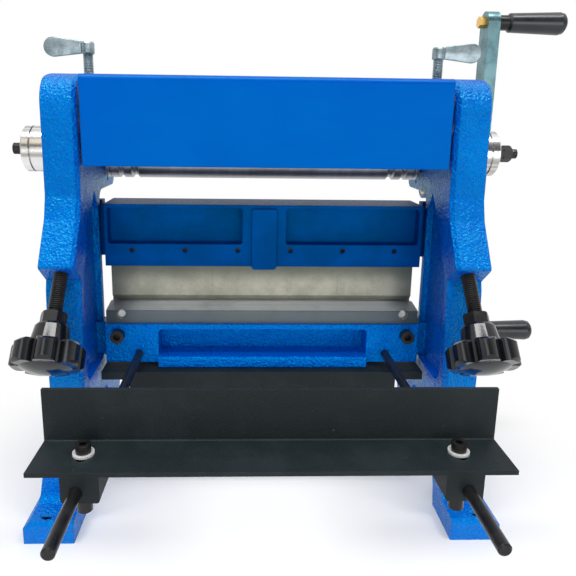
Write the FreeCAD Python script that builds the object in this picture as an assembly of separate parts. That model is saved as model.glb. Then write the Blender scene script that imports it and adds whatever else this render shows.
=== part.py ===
import FreeCAD, Part
import math
import os

# Bench machine that shears, folds and rolls sheet metal, 305 mm wide.
# Millimetres.  X runs across the machine, Y from the back-gauge side to the
# far side, Z up.  The origin is the middle of the four foot bolts, on the bench.

# ---- driving dimensions ---------------------------------------------------
SHEET_W = 305.0          # widest sheet the tools take
FRAME_H = 405.6          # top of the side frames

# side frames
FRAME_GAP = SHEET_W + 14.2   # between the inner faces of the side frames
INNER = FRAME_GAP / 2
FRAME_T = 29.4           # thickness of a side frame
OUTER = INNER + FRAME_T
RECESS_D = 8.0           # depth of the outer recess
WEB = OUTER - RECESS_D   # floor of the outer recess
LEAF_D = 6.0             # depth of the hollow in the inner face
RIM_W = 12.0             # width of the rim round the recess
FRAME_FRONT = -50.0      # front rim above the boss
FRAME_REAR = 80.0        # rear rim of the roll housing
LEG_REAR = 92.0          # rear edge of the rear leg
FRONT_ROUND = 3.5        # bevel along the inner front edge
HOUSING_BOT = FRAME_H - 104.6
FOOT_T = 20.0            # thickness of a foot
FOOT_LEN = 194.0         # foot, front to rear
FOOT_OUT = OUTER + 23.0  # outer edge of a foot
FOOT_LEAN = 8.4          # inner edge of a foot, outwards from the inner face
FOOT_BOLT_X = FRAME_GAP + 66.8   # bolt pattern across
FOOT_BOLT_Y = FOOT_LEN - 22.0    # bolt pattern front to rear
FOOT_BOLT_D = 12.0

# levels of the tools
DIE_LINE = FRAME_H - 217.6       # top of the lower die and of the lower blade
SHEET_GAP = 0.6          # between the closed dies
DIE_BOT = DIE_LINE + SHEET_GAP
THROAT_Y = 14.0          # rear edge of the column
THROAT_BOT = DIE_LINE - 56.0     # floor of the throat
THROAT_R = 12.0
SPLAY_Z = DIE_LINE - 58.0        # height where the legs start to splay
ARCH_TOP = SPLAY_Z - 32.0        # between the front and rear foot
ARCH_HALF = 30.0

# rolls
ROLL_D = 30.0
ROLL_LEN = FRAME_GAP - 3.2
ROLL_Y = 50.0            # pinch rolls
LOWER_Z = FRAME_H - 80.1
NIP = 0.4                # rest gap between the pinch rolls
UPPER_Z = LOWER_Z + ROLL_D + NIP
JOURNAL_D = 16.0
BUSH_OD = 22.0
BLOCK_W = 21.0           # upper bearing block
BLOCK_H = 24.0
BLOCK_LIFT = 3.0
GROOVES = ((29.0, 7.0), (15.5, 5.0), (3.5, 3.0))     # from the end, width
WIRE_GROOVES = [(ROLL_LEN / 2 - x, w) for x, w in GROOVES]

# bending roll and its inclined screws
BEND_Y = 16.0
BEND_Z = FRAME_H - 57.4
BEND_ANGLE = 51.0        # screw axis above the bench
BEND_DOWN = 12.0
BEND_UP = 4.0
BEND_BLOCK = 20.0
AXLE_D = 14.0
SCREW_X = INNER + 13.4   # adjusting and thumb screws, from the middle
ADJ_D = 12.0
BOSS_Y = -72.0           # middle of the boss end face
BOSS_FACE = 24.0
STAR_D = 58.0
STAR_T = 18.0
HUB_D = 32.0
NUT_AF = 19.0
NUT_S = 35.0             # along the screw from the boss face
NUT_H = 10.0
HUB_S1 = 62.0
STAR_S1 = HUB_S1 + STAR_T
THUMB_D = 10.0
THUMB_TOP = FRAME_H + 40.4
THUMB_HEAD = 16.0
THUMB_REACH = 42.0

# crank and gears
GEAR_M = 1.25
PINION_TEETH = 18
DRIVEN_TEETH = 36
CRANK_TILT = -40.7       # pinion centre seen from the lower roll
PINCH_M = 2.0
PINCH_TEETH = 15
GEAR_W = 7.0
CRANK_BUSH_X = OUTER - 15.0
CRANK_BOSS_R = 15.0
CRANK_X = OUTER + 37.4   # inner face of the crank arm
CRANK_T = 12.5
CRANK_W = 21.4
CRANK_SQUARE = 11.0
GRIP_R = 166.5           # crank axis to grip axis
GRIP_LEN = 60.0
GRIP_D1 = 19.0
GRIP_D2 = 22.5
GRIP_NECK = 10.8
GRIP_NUT_AF = 10.0
GRIP_NUT_H = 6.5
PIN_D = 9.0

# ram drive
STUB_Y = -25.0
STUB_Z = FRAME_H - 64.1
STUB_D = 24.0
DISC_D = 40.0
DISC_RIGHT = OUTER + 14.6    # outer face of the right disc
DISC_LEFT = OUTER + 21.0     # outer face of the left disc
STUD_D = 9.4
STUD_LEFT = 12.0
STUD_RIGHT = 21.5
STUD_THREAD = 8.0
DRIVE_NUT_AF = 13.0
DRIVE_NUT_H = 8.0
THROW = 6.0
CRANK_PIN_D = 11.0
RAM_STROKE = 10.4
HANGER_T = 5.5           # plate on the end of the ram
LINK_T = 6.5             # plate in the outer recess
HANGER_W = 23.2
FORK_H = 25.4
FORK_W = 26.0

# ram and tools
RAM_W = SHEET_W + 1.0
RAM_DEPTH = 46.0
RAM_BOT = DIE_LINE + 41.4
RAM_TOP = RAM_BOT + 60.1
RAM_FLANGE = 21.8
RAM_POCKET = 14.0
RAM_BACK_POCKET = 8.0
RIB_W = 24.0
DIE_UNIT = SHEET_W / 12  # the die segments are 4, 3, 2 and 3 of these
DIE_WIDTHS = (4 * DIE_UNIT, 3 * DIE_UNIT, 2 * DIE_UNIT, 3 * DIE_UNIT)
CLAMP_PITCH = 2 * DIE_UNIT
CLAMP_Z = RAM_BOT + 15.8
DIE_Y = 20.5
DIE_T = 10.5
DIE_H = 63.3
HANGER_SCREW_Y = 25.8
HANGER_SCREW_Z = (RAM_TOP - 27.0, RAM_TOP - 12.0)
BLADE_T = 8.0
BLADE_H = 30.0
BLADE_GAP = 0.3
BLADE_RAKE = 3.0
BLADE_LAP = 2.0
BLADE_PITCH = SHEET_W / 4 - 11.25
UPPER_BLADE_Z = DIE_LINE + 51.0
LOWER_PITCH = SHEET_W / 4 - 20.25
LOWER_BLADE_Z = DIE_LINE - 22.0

# lower die, bed and support bar
BAR_W = SHEET_W + 3.0
BAR_BOT = DIE_LINE - 16.0
BAR_FRONT = -3.0
DIE_SPLIT = -44.0
DIE_SCREWS = (37.5 - SHEET_W / 2, -70.0, 30.0, SHEET_W / 2 - 52.5)
DIE_SCREW_Y = 27.0
THROUGH_D = 9.5
THROUGH_X = SHEET_W / 2 - 13.3
THROUGH_Z = DIE_LINE - 7.0
BED_W = SHEET_W + 4.2
BED_BOT = DIE_LINE - 55.0
BED_FRONT = -7.0
POCKET_W = SHEET_W - 99.0
BED_BOLT_X = SHEET_W / 2 - 10.5
BED_BOLT_Z = DIE_LINE - 26.5
LUG_HALF = 14.0
LIP_Y = -12.0
LIP_BOT = DIE_LINE - 59.0
LIP_TOP = DIE_LINE - 48.0
SUPPORT_FRONT = -22.0
SUPPORT_T = 8.0
SUPPORT_DROP = 15.0
SUPPORT_BOLT_X = 70.0

# back gauge
ROD_X = SHEET_W / 2 - 30.5
ROD_Z = DIE_LINE - 46.0
ROD_D = 8.0
ROD_END = -280.0
ROD_GRIP = 16.0
ANGLE_LEG = 40.0
ANGLE_T = 3.0
ANGLE_Y = -188.0
ANGLE_Z = DIE_LINE - 32.1
BLOCK_X0 = ROD_X - 14.5
BLOCK_X1 = ROD_X + 9.5
BLOCK_DEPTH = 27.0
BLOCK_BOT = DIE_LINE - 53.0
BLOCK_TOP = ANGLE_Z - ANGLE_T
GAUGE_SCREW_Y = ANGLE_Y - 19.0
LOCK_Y = ANGLE_Y - 22.0
LOCK_HEAD_D = 10.0
LOCK_HEAD_H = 10.0
WASHER_D = 14.0
WASHER_T = 1.6

# cover and its brackets
COVER_W = SHEET_W + 7.0
COVER_T = 2.0
COVER_BOT = FRAME_H - 77.0
COVER_TOP = FRAME_H - 1.6
COVER_Y = -52.0
COVER_DEPTH = 62.0
COVER_RETURN = 30.0
BRACKET_SCREW = 5.0
BRACKET_Y = -12.0        # screw into the frame
BRACKET_TAB_Y = -32.0    # screw of the cover
BRACKET_Z = FRAME_H - 29.6
BRACKET_TAB = 3.0
BRACKET_HALF = 10.0

# clearances
RUN = 0.05               # running fit, on the radius
SLIDE = 0.4              # sliding fit, each side
SEAT = 0.3               # left between a piece and what only faces it

# ---- sizes that follow ----------------------------------------------------
ANG = math.radians(BEND_ANGLE)
AX_Y = math.cos(ANG)
AX_Z = math.sin(ANG)
BOSS_S = (BEND_Y - BOSS_Y) / AX_Y
BOSS_Z = BEND_Z - BOSS_S * AX_Z
GEAR_C = GEAR_M * (PINION_TEETH + DRIVEN_TEETH) / 2
CRANK_Y = ROLL_Y + GEAR_C * math.cos(math.radians(CRANK_TILT))
CRANK_Z = LOWER_Z + GEAR_C * math.sin(math.radians(CRANK_TILT))
GEAR_X = OUTER + SLIDE
GRIP_X = CRANK_X + CRANK_T
RAM_SWING = math.degrees(2 * math.asin(RAM_STROKE / (2 * THROW)))
PIN_LOW = THROW * math.sin(math.radians(RAM_SWING / 2))
PIN_OUT = THROW * math.cos(math.radians(RAM_SWING / 2))
HANGER_Y = THROAT_Y + SLIDE
BLADE_SCREWS = [i * BLADE_PITCH for i in range(-2, 3)]
LOWER_BLADE_SCREWS = [i * LOWER_PITCH for i in range(-2, 3)]

os.makedirs("parts", exist_ok=True)


# ---- tools ----------------------------------------------------------------
def vec(x, y, z):
    return FreeCAD.Vector(x, y, z)


def box(x0, x1, y0, y1, z0, z1):
    return Part.makeBox(x1 - x0, y1 - y0, z1 - z0, vec(x0, y0, z0))


def rod(radius, start, end):
    """Cylinder between two points."""
    run = end - start
    return Part.makeCylinder(radius, run.Length, start, run)


def rod_x(radius, x0, x1, y, z):
    return rod(radius, vec(x0, y, z), vec(x1, y, z))


def rod_y(radius, x, y0, y1, z):
    return rod(radius, vec(x, y0, z), vec(x, y1, z))


def rod_z(radius, x, y, z0, z1):
    return rod(radius, vec(x, y, z0), vec(x, y, z1))


def rounded(corners):
    """Closed wire through (point, radius) corners, each rounded to its radius."""
    edges = []
    count = len(corners)
    entries = []
    exits = []
    mids = []
    for i in range(count):
        point, radius = corners[i]
        back = (corners[i - 1][0] - point).normalize()
        ahead = (corners[(i + 1) % count][0] - point).normalize()
        if radius > 0:
            half = back.getAngle(ahead) / 2
            cut = radius / math.tan(half)
            middle = (back + ahead).normalize()
            entries.append(point + back * cut)
            exits.append(point + ahead * cut)
            mids.append(point + middle * (radius / math.sin(half) - radius))
        else:
            entries.append(point)
            exits.append(point)
            mids.append(None)
    for i in range(count):
        if mids[i] is not None:
            edges.append(Part.Arc(entries[i], mids[i], exits[i]).toShape())
        start = exits[i]
        end = entries[(i + 1) % count]
        if (end - start).Length > 0.001:
            edges.append(Part.LineSegment(start, end).toShape())
    return Part.Wire(edges)


def plate_x(corners, x0, x1):
    """Outline of (y, z, radius) corners, solid from x0 to x1."""
    points = [(vec(x0, y, z), r) for y, z, r in corners]
    return Part.Face(rounded(points)).extrude(vec(x1 - x0, 0, 0))


def plate_y(corners, y0, y1):
    """Outline of (x, z, radius) corners, solid from y0 to y1."""
    points = [(vec(x, y0, z), r) for x, z, r in corners]
    return Part.Face(rounded(points)).extrude(vec(0, y1 - y0, 0))


def plate_z(corners, z0, z1):
    """Outline of (x, y, radius) corners, solid from z0 to z1."""
    points = [(vec(x, y, z0), r) for x, y, r in corners]
    return Part.Face(rounded(points)).extrude(vec(0, 0, z1 - z0))


def turned(profile, origin, axis):
    """Solid of revolution: (along, radius) pairs turned round an axis."""
    points = [vec(r, 0, s) for s, r in profile]
    points.append(points[0])
    face = Part.Face(Part.makePolygon(points))
    solid = face.revolve(vec(0, 0, 0), vec(0, 0, 1), 360)
    turn = FreeCAD.Rotation(vec(0, 0, 1), axis)
    solid.Placement = FreeCAD.Placement(origin, turn)
    return solid


def hexagon(across, length, origin, axis):
    """Hexagonal bar, measured across its flats."""
    radius = across / math.sqrt(3)
    points = []
    for i in range(7):
        a = math.radians(60 * i)
        points.append(vec(radius * math.cos(a), radius * math.sin(a), 0))
    solid = Part.Face(Part.makePolygon(points)).extrude(vec(0, 0, length))
    turn = FreeCAD.Rotation(vec(0, 0, 1), axis)
    solid.Placement = FreeCAD.Placement(origin, turn)
    return solid


def spur_gear(module, teeth, x0, x1, y, z, bore, phase):
    """Spur gear about X, with straight-flanked teeth and a shaft bore."""
    pitch = module * teeth / 2
    step = 2 * math.pi / teeth
    points = []
    for i in range(teeth):
        mid = i * step + phase
        for turn, reach in ((-0.30, -1.15), (-0.13, 0.95), (0.13, 0.95), (0.30, -1.15)):
            a = mid + turn * step
            r = pitch + reach * module
            points.append(vec(x0, y + r * math.cos(a), z + r * math.sin(a)))
    points.append(points[0])
    blank = Part.Face(Part.makePolygon(points)).extrude(vec(x1 - x0, 0, 0))
    return blank.cut(rod_x(bore / 2, x0 - 1, x1 + 1, y, z))


def socket_screw(shank, length, head_d, head_h, origin, axis):
    """Cap screw: origin under the head, axis from head to tip."""
    profile = [(-head_h, 0), (-head_h, head_d / 2), (0, head_d / 2)]
    profile += [(0, shank / 2), (length, shank / 2), (length, 0)]
    screw = turned(profile, origin, axis)
    key = hexagon(shank * 0.8, head_h * 0.6, origin - axis * head_h, axis)
    return screw.cut(key)


def mirrored(shape):
    return shape.mirror(vec(0, 0, 0), vec(1, 0, 0))


def group(shapes):
    return Part.makeCompound(shapes)


def both_sides(shape):
    return group([shape, mirrored(shape)])


def save(name, shape):
    shape.exportStep("parts/" + name + ".step")


X = vec(1, 0, 0)
Y = vec(0, 1, 0)
Z = vec(0, 0, 1)
UP_SCREW = vec(0, AX_Y, AX_Z)      # along the adjusting screws, towards the roll


def on_screw(s):
    """Point on the adjusting-screw axis, s from the rest place of the roll."""
    return vec(SCREW_X, BEND_Y + s * AX_Y, BEND_Z + s * AX_Z)


def inclined_block(x0, x1, low, high, half):
    """Bar of square section lying along the adjusting-screw axis."""
    side = vec(0, -AX_Z, AX_Y) * half
    base = vec(x0, BEND_Y, BEND_Z)
    corners = [base + UP_SCREW * low + side, base + UP_SCREW * high + side]
    corners += [base + UP_SCREW * high - side, base + UP_SCREW * low - side]
    corners.append(corners[0])
    return Part.Face(Part.makePolygon(corners)).extrude(vec(x1 - x0, 0, 0))


# ---- side frames ----------------------------------------------------------
def frame_outline(back):
    """Side view of a frame: feet, boss, roll housing, and the throat behind.

    The front edge stands back by the given length."""
    f = FRAME_FRONT + back
    b = FRAME_REAR
    foot = FOOT_LEN / 2
    low_y = BOSS_Y + BOSS_FACE / 2 * AX_Z + back
    low_z = BOSS_Z - BOSS_FACE / 2 * AX_Y
    lip_y = BOSS_Y - BOSS_FACE / 2 * AX_Z + back
    lip_z = BOSS_Z + BOSS_FACE / 2 * AX_Y
    outline = [(-foot, 0, 0), (-foot, FOOT_T, 4), (f - 17, FOOT_T + 4, 8)]
    outline += [(f - 22, SPLAY_Z + 15, 40), (f - 15, low_z - 8, 6), (low_y, low_z, 0)]
    outline += [(lip_y, lip_z, 3), (f - 8, lip_z + 37, 10), (f - 2, lip_z + 56, 16)]
    outline += [(f, FRAME_H, 27), (b, FRAME_H, 18), (b, HOUSING_BOT, 9)]
    outline += [(THROAT_Y, HOUSING_BOT, THROAT_R), (THROAT_Y, THROAT_BOT, 16)]
    outline += [(LEG_REAR, THROAT_BOT - 4, 12), (LEG_REAR - 2, ARCH_TOP - 32, 30)]
    outline += [(LEG_REAR - 11, FOOT_T + 4, 8), (foot, FOOT_T, 4), (foot, 0, 0)]
    outline += [(foot - 50, 0, 0), (foot - 56, 34, 14), (ARCH_HALF, ARCH_TOP, 26)]
    outline += [(-ARCH_HALF, ARCH_TOP, 26), (56 - foot, 34, 14), (50 - foot, 0, 0)]
    return outline


def recess_outline():
    """Hollow of the outer face, inside the rim."""
    f = FRAME_FRONT + RIM_W
    b = FRAME_REAR - RIM_W / 2
    half = RIM_W / 2
    outline = [(f - 16, THROAT_BOT + 14, 8), (f - 12, BOSS_Z, 14), (f, BOSS_Z + 66, 20)]
    outline += [(f, FRAME_H - RIM_W, 16), (b, FRAME_H - RIM_W, 12)]
    outline += [(b, HOUSING_BOT + half, 6), (THROAT_Y - half, HOUSING_BOT + half, 6)]
    outline += [(THROAT_Y - half, THROAT_BOT + 14, 8)]
    return outline


def leaf_outline():
    """Hollow of the inner face: its upper edge runs beside the inclined screw."""
    along = AX_Z / AX_Y
    tip_y = -5.0
    tip_z = HOUSING_BOT + 2
    low_y = FRAME_FRONT - 2
    low_z = tip_z - (tip_y - low_y) * along - 8
    rear = THROAT_Y - RIM_W / 2
    outline = [(low_y - 6, THROAT_BOT + 2, 12), (low_y - 6, low_z - 30, 20)]
    outline += [(low_y, low_z, 10), (tip_y - 1.5, tip_z - 2, 4), (tip_y + 1.5, tip_z, 1)]
    outline += [(rear, tip_z - 20, 20), (rear, THROAT_BOT + 2, 10)]
    return outline


def link_outline(rise, grow):
    """Link in the outer recess, from the throat up to the fork on the pin."""
    yoke = STUB_Z - PIN_LOW
    g = grow
    r = rise + grow
    front = STUB_Y - 10.0
    back = front + FORK_W
    top = yoke + FORK_H / 2
    rear = HANGER_Y + HANGER_W
    arm = RAM_TOP + 0.5
    low = RAM_TOP - 28.0
    outline = [(HANGER_Y + 2 - g, low - g), (rear + g, low - g), (rear + g, arm + r)]
    outline += [(rear - 7 + g, arm + r), (back + g, top - 11 + r), (back + g, top + r)]
    outline += [(front - g, top + r), (front - g, yoke - FORK_H / 2 - g)]
    outline += [(back - 9 - g, yoke - FORK_H / 2 - g), (HANGER_Y + 2 - g, arm - 8 - g)]
    return [(y, z, 0) for y, z in outline]


def side_frame(crank_side):
    """Cast frame on the +X side; the crank side also carries the crank bush."""
    c = FRONT_ROUND
    body = plate_x(frame_outline(0), INNER + c, FOOT_OUT)
    sketches = []
    for x, back in ((INNER, c), (INNER + c, 0)):
        points = [(vec(x, y, z), r) for y, z, r in frame_outline(back)]
        sketches.append(rounded(points))
    body = body.fuse(Part.makeLoft(sketches, True, True))
    section = [(INNER, FRAME_H, 2), (OUTER, FRAME_H, 6), (OUTER, SPLAY_Z, 30)]
    section += [(FOOT_OUT - 5, FOOT_T, 3), (FOOT_OUT, FOOT_T - 4, 2), (FOOT_OUT, 0, 0)]
    section += [(INNER + FOOT_LEAN, 0, 0), (INNER + FOOT_LEAN, FOOT_T, 0), (INNER, SPLAY_Z, 30)]
    body = body.common(plate_y(section, -FOOT_LEN, FOOT_LEN))
    if crank_side:
        boss = rod_x(CRANK_BOSS_R, CRANK_BUSH_X, OUTER, CRANK_Y, CRANK_Z)
        body = body.fuse(boss)
    recess = plate_x(recess_outline(), WEB, OUTER + 1)
    if crank_side:
        recess = recess.cut(rod_x(CRANK_BOSS_R, WEB - 1, OUTER + 1, CRANK_Y, CRANK_Z))
    body = body.cut(recess)
    body = body.cut(plate_x(leaf_outline(), INNER - 1, INNER + LEAF_D))

    # way of the ram's link through the rim
    body = body.cut(plate_x(link_outline(RAM_STROKE, SLIDE), WEB, OUTER + 1))

    # lug that carries the bed
    lug = [(BED_BOLT_X - LUG_HALF, BED_BOT + 4, 6), (INNER + LEAF_D + 1, BED_BOT + 4, 0)]
    lug += [(INNER + LEAF_D + 1, BAR_BOT - 1, 0), (BED_BOLT_X - LUG_HALF, BAR_BOT - 1, 6)]
    body = body.fuse(plate_y(lug, BED_FRONT + 10, BED_FRONT + 27))
    body = body.cut(rod_y(4.0, BED_BOLT_X, BED_FRONT, BED_FRONT + 26, BED_BOLT_Z))

    # bores and slots of the rolls
    body = body.cut(rod_x(BUSH_OD / 2, INNER - 1, WEB + 1, ROLL_Y, LOWER_Z))
    half = BLOCK_W / 2 + SLIDE
    low = UPPER_Z - BLOCK_H / 2 - SLIDE
    high = UPPER_Z + BLOCK_H / 2 + BLOCK_LIFT + SLIDE
    body = body.cut(box(INNER - 1, WEB + 1, ROLL_Y - half, ROLL_Y + half, low, high))
    reach = BEND_BLOCK / 2 + SLIDE
    slot = inclined_block(INNER - 1, WEB + 1, -BEND_DOWN - reach, BEND_UP + reach, reach)
    body = body.cut(slot)
    body = body.cut(rod(ADJ_D / 2 + RUN, on_screw(-BOSS_S - 5), on_screw(0)))
    thumb = THUMB_D / 2 + RUN
    body = body.cut(rod_z(thumb, SCREW_X, ROLL_Y, UPPER_Z, FRAME_H + 1))
    body = body.cut(rod_x(STUB_D / 2 + RUN, INNER + 3, OUTER + 1, STUB_Y, STUB_Z))
    if crank_side:
        body = body.cut(rod_x(BUSH_OD / 2, CRANK_BUSH_X, OUTER + 1, CRANK_Y, CRANK_Z))

    # screw hole of the cover bracket, tapped holes and oil hole, foot bolts
    body = body.cut(rod_x(BRACKET_SCREW / 2, INNER - 1, INNER + 13, BRACKET_Y, BRACKET_Z))
    for z in (THROAT_BOT + 29, HOUSING_BOT - 40):
        body = body.cut(rod_x(2.5, INNER, INNER + LEAF_D + 5, -5, z))
    body = body.cut(rod_x(2.0, INNER - 1, INNER + 6, ROLL_Y + 2, LOWER_Z - 17))
    for y in (-FOOT_BOLT_Y / 2, FOOT_BOLT_Y / 2):
        body = body.cut(rod_z(FOOT_BOLT_D / 2, FOOT_BOLT_X / 2, y, -1, FOOT_T + 1))
    return body.removeSplitter()


# ---- cover and its brackets -----------------------------------------------
def cover():
    """Bent sheet over the rolls: front panel, top flange and end returns."""
    half = COVER_W / 2
    t = COVER_T
    front = COVER_Y
    top_back = front + COVER_DEPTH
    bend = 5.0
    corner = [(front, COVER_BOT, 0), (front, COVER_TOP, bend), (top_back, COVER_TOP, 0)]
    corner += [(top_back, COVER_TOP - t, 0), (front + t, COVER_TOP - t, bend - t)]
    corner += [(front + t, COVER_BOT, 0)]
    sheet = plate_x(corner, -half, half)
    tab = [(front, COVER_BOT, 0), (front, COVER_TOP, bend), (front + COVER_RETURN, COVER_TOP, 0)]
    tab += [(front + COVER_RETURN, COVER_BOT, 8)]
    end = plate_x(tab, half - t, half)
    hole = rod_x(2.2, half - t - 1, half + 1, BRACKET_TAB_Y, BRACKET_Z)
    end = end.cut(hole)
    return sheet.fuse(end).fuse(mirrored(end)).removeSplitter()


def cover_bracket():
    """Angle behind the cover, from the frame forward to the cover's end."""
    x1 = COVER_W / 2 - COVER_T
    x0 = x1 - BRACKET_TAB
    near = BRACKET_TAB_Y - 10
    mid = BRACKET_Y - 8
    outline = [(INNER, mid, 0), (INNER, BRACKET_Y + 8, 0), (x0, BRACKET_Y + 8, 1)]
    outline += [(x0, near, 1), (x1, near, 1), (x1, mid, 0)]
    block = plate_z(outline, BRACKET_Z - BRACKET_HALF, BRACKET_Z + BRACKET_HALF)
    block = block.cut(rod_x(BRACKET_SCREW / 2, x0 - 1, INNER + 1, BRACKET_Y, BRACKET_Z))
    hole = rod_x(2.0, x0 - 1, x1 + 1, BRACKET_TAB_Y, BRACKET_Z)
    return block.cut(hole).removeSplitter()


def bracket_screw():
    x = COVER_W / 2 - COVER_T - BRACKET_TAB
    origin = vec(x, BRACKET_Y, BRACKET_Z)
    return socket_screw(BRACKET_SCREW, INNER - x + 12, 8.5, 4.5, origin, X)


def cover_screw():
    """Low button-head screw through the cover's end into the bracket."""
    profile = [(-2.2, 0), (-2.2, 2.2), (-1.2, 3.6), (0, 3.8), (0, 2.0), (7, 2.0), (7, 0)]
    return turned(profile, vec(COVER_W / 2, BRACKET_TAB_Y, BRACKET_Z), X * -1)


# ---- rolls ----------------------------------------------------------------
def grooved_profile(half, radius, bore):
    """Roll from end to end, with round-bottomed wire grooves near each end."""
    profile = [(-half, bore), (-half, radius - 1), (-half + 1, radius)]
    places = [(-x, w) for x, w in reversed(WIRE_GROOVES)]
    places += [(x, w) for x, w in WIRE_GROOVES]
    for x, w in places:
        depth = w * 0.4
        profile += [(x - w / 2, radius), (x - w / 4, radius - depth * 0.85)]
        profile += [(x, radius - depth)]
        profile += [(x + w / 4, radius - depth * 0.85), (x + w / 2, radius)]
    profile += [(half - 1, radius), (half, radius - 1), (half, bore)]
    return profile


def lower_roll():
    half = ROLL_LEN / 2
    roll = turned(grooved_profile(half, ROLL_D / 2, 0), vec(0, ROLL_Y, LOWER_Z), X)
    end = GEAR_X + GEAR_W + 3.0
    return roll.fuse(rod_x(JOURNAL_D / 2, -end, end, ROLL_Y, LOWER_Z)).removeSplitter()


def upper_roll():
    half = ROLL_LEN / 2
    r = ROLL_D / 2
    profile = [(-half, 0), (-half, r - 1), (1 - half, r), (half - 1, r), (half, r - 1), (half, 0)]
    roll = turned(profile, vec(0, ROLL_Y, UPPER_Z), X)
    left = -(GEAR_X + GEAR_W + 3.0)
    shaft = rod_x(JOURNAL_D / 2, left, WEB - 1.0, ROLL_Y, UPPER_Z)
    return roll.fuse(shaft).removeSplitter()


def bending_roll():
    half = ROLL_LEN / 2
    profile = grooved_profile(half, ROLL_D / 2, AXLE_D / 2 + RUN)
    return turned(profile, vec(0, BEND_Y, BEND_Z), X)


def bending_axle():
    end = WEB - 1.0
    return rod_x(AXLE_D / 2, -end, end, BEND_Y, BEND_Z)


def roll_bush(x0, x1, y, z):
    bush = rod_x(BUSH_OD / 2, x0, x1, y, z)
    return bush.cut(rod_x(JOURNAL_D / 2 + RUN, x0 - 1, x1 + 1, y, z))


def upper_block():
    """Sliding bearing of the upper roll, held by the end of its thumb screw."""
    w = BLOCK_W / 2
    h = BLOCK_H / 2
    outline = [(ROLL_Y - w, UPPER_Z - h, 1), (ROLL_Y + w, UPPER_Z - h, 1)]
    outline += [(ROLL_Y + w, UPPER_Z + h, 1), (ROLL_Y - w, UPPER_Z + h, 1)]
    block = plate_x(outline, INNER + SEAT, WEB - SEAT)
    block = block.cut(rod_x(JOURNAL_D / 2 + RUN, INNER, WEB, ROLL_Y, UPPER_Z))
    seat = THUMB_D / 2 - 1.5 + RUN
    return block.cut(rod_z(seat, SCREW_X, ROLL_Y, UPPER_Z + h - 3, UPPER_Z + h + 1))


def bending_block():
    """Bearing block of the bending roll, on the end of its adjusting screw."""
    half = BEND_BLOCK / 2
    block = inclined_block(INNER + SEAT, WEB - SEAT, -half, half, half)
    block = block.cut(rod_x(AXLE_D / 2, INNER, WEB, BEND_Y, BEND_Z))
    seat = ADJ_D / 2 - 2 + RUN
    return block.cut(rod(seat, on_screw(-half - 1), on_screw(-half + 2.5)))


# ---- inclined adjusting screws --------------------------------------------
def adjusting_screw():
    half = BEND_BLOCK / 2
    r = ADJ_D / 2
    top = -half - SEAT
    end = -BOSS_S - STAR_S1 - 4.0
    profile = [(end, 0), (end, r - 1), (end + 1, r), (top, r)]
    profile += [(top, r - 2), (top + 2.5, r - 2), (top + 2.5, 0)]
    return turned(profile, on_screw(0), UP_SCREW)


def lock_nut():
    base = on_screw(-BOSS_S - NUT_S - NUT_H)
    nut = hexagon(NUT_AF, NUT_H, base, UP_SCREW)
    bevel = turned([(0, 0), (0, NUT_AF * 0.53), (1.2, NUT_AF * 0.58), (NUT_H - 1.2, NUT_AF * 0.58),
                    (NUT_H, NUT_AF * 0.53), (NUT_H, 0)], base, UP_SCREW)
    nut = nut.common(bevel)
    return nut.cut(rod(ADJ_D / 2, base - UP_SCREW, base + UP_SCREW * (NUT_H + 1)))


def star_knob():
    """Hand knob with seven round lobes and a hub towards the nut."""
    base = on_screw(-BOSS_S - STAR_S1)
    lobes = 7
    big = STAR_D / 2
    lobe_r = 8.0
    ring = big - lobe_r
    knob = Part.makeCylinder(ring - 1.0, STAR_T)
    for i in range(lobes):
        a = 2 * math.pi * i / lobes
        lobe = Part.makeCylinder(lobe_r, STAR_T, vec(ring * math.cos(a), ring * math.sin(a), 0))
        knob = knob.fuse(lobe)
    knob = knob.removeSplitter()
    dome = turned([(0, 0), (0, big - 3), (3, big + 0.5), (STAR_T - 3, big + 0.5),
                   (STAR_T, big - 3), (STAR_T, 0)], vec(0, 0, 0), Z)
    knob = knob.common(dome)
    hub = turned([(STAR_T - 1, 0), (STAR_T - 1, HUB_D / 2), (STAR_T + 15, HUB_D / 2 - 2.5),
                  (STAR_T + HUB_S1 - NUT_S - NUT_H, HUB_D / 2 - 4),
                  (STAR_T + HUB_S1 - NUT_S - NUT_H, 0)], vec(0, 0, 0), Z)
    knob = knob.fuse(hub)
    knob = knob.cut(Part.makeCylinder(ADJ_D / 2, 80, vec(0, 0, -5)))
    turn = FreeCAD.Rotation(Z, UP_SCREW)
    knob.Placement = FreeCAD.Placement(base, turn)
    return knob


# ---- thumb screws on top --------------------------------------------------
def thumb_screw():
    """Screw with a one-sided thumb lever."""
    h = UPPER_Z + BLOCK_H / 2
    r = THUMB_D / 2
    head = THUMB_TOP - 16
    profile = [(h - 3, 0), (h - 3, r - 1.5), (h + SEAT, r - 1.5), (h + SEAT, r)]
    profile += [(head, r), (head, r + 1.6), (THUMB_TOP - 1, r + 1.6), (THUMB_TOP, r + 0.6)]
    profile += [(THUMB_TOP, 0)]
    screw = turned(profile, vec(SCREW_X, ROLL_Y, 0), Z)
    x = SCREW_X
    paddle = [(x, head + 3, 0), (x + 14, head + 1, 8), (x + 24, head - 2, 6)]
    paddle += [(x + 42, head - 2, 6), (x + 42, THUMB_TOP + 1, 6)]
    paddle += [(x + 24, THUMB_TOP + 1, 6), (x + 14, THUMB_TOP - 2, 8), (x, THUMB_TOP - 3, 0)]
    wing = plate_y(paddle, ROLL_Y - 2.2, ROLL_Y + 2.2)
    return screw.fuse(wing).removeSplitter()


# ---- crank and gears ------------------------------------------------------
def driven_gear():
    return spur_gear(GEAR_M, DRIVEN_TEETH, GEAR_X, GEAR_X + GEAR_W, ROLL_Y, LOWER_Z, JOURNAL_D, 0)


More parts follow.
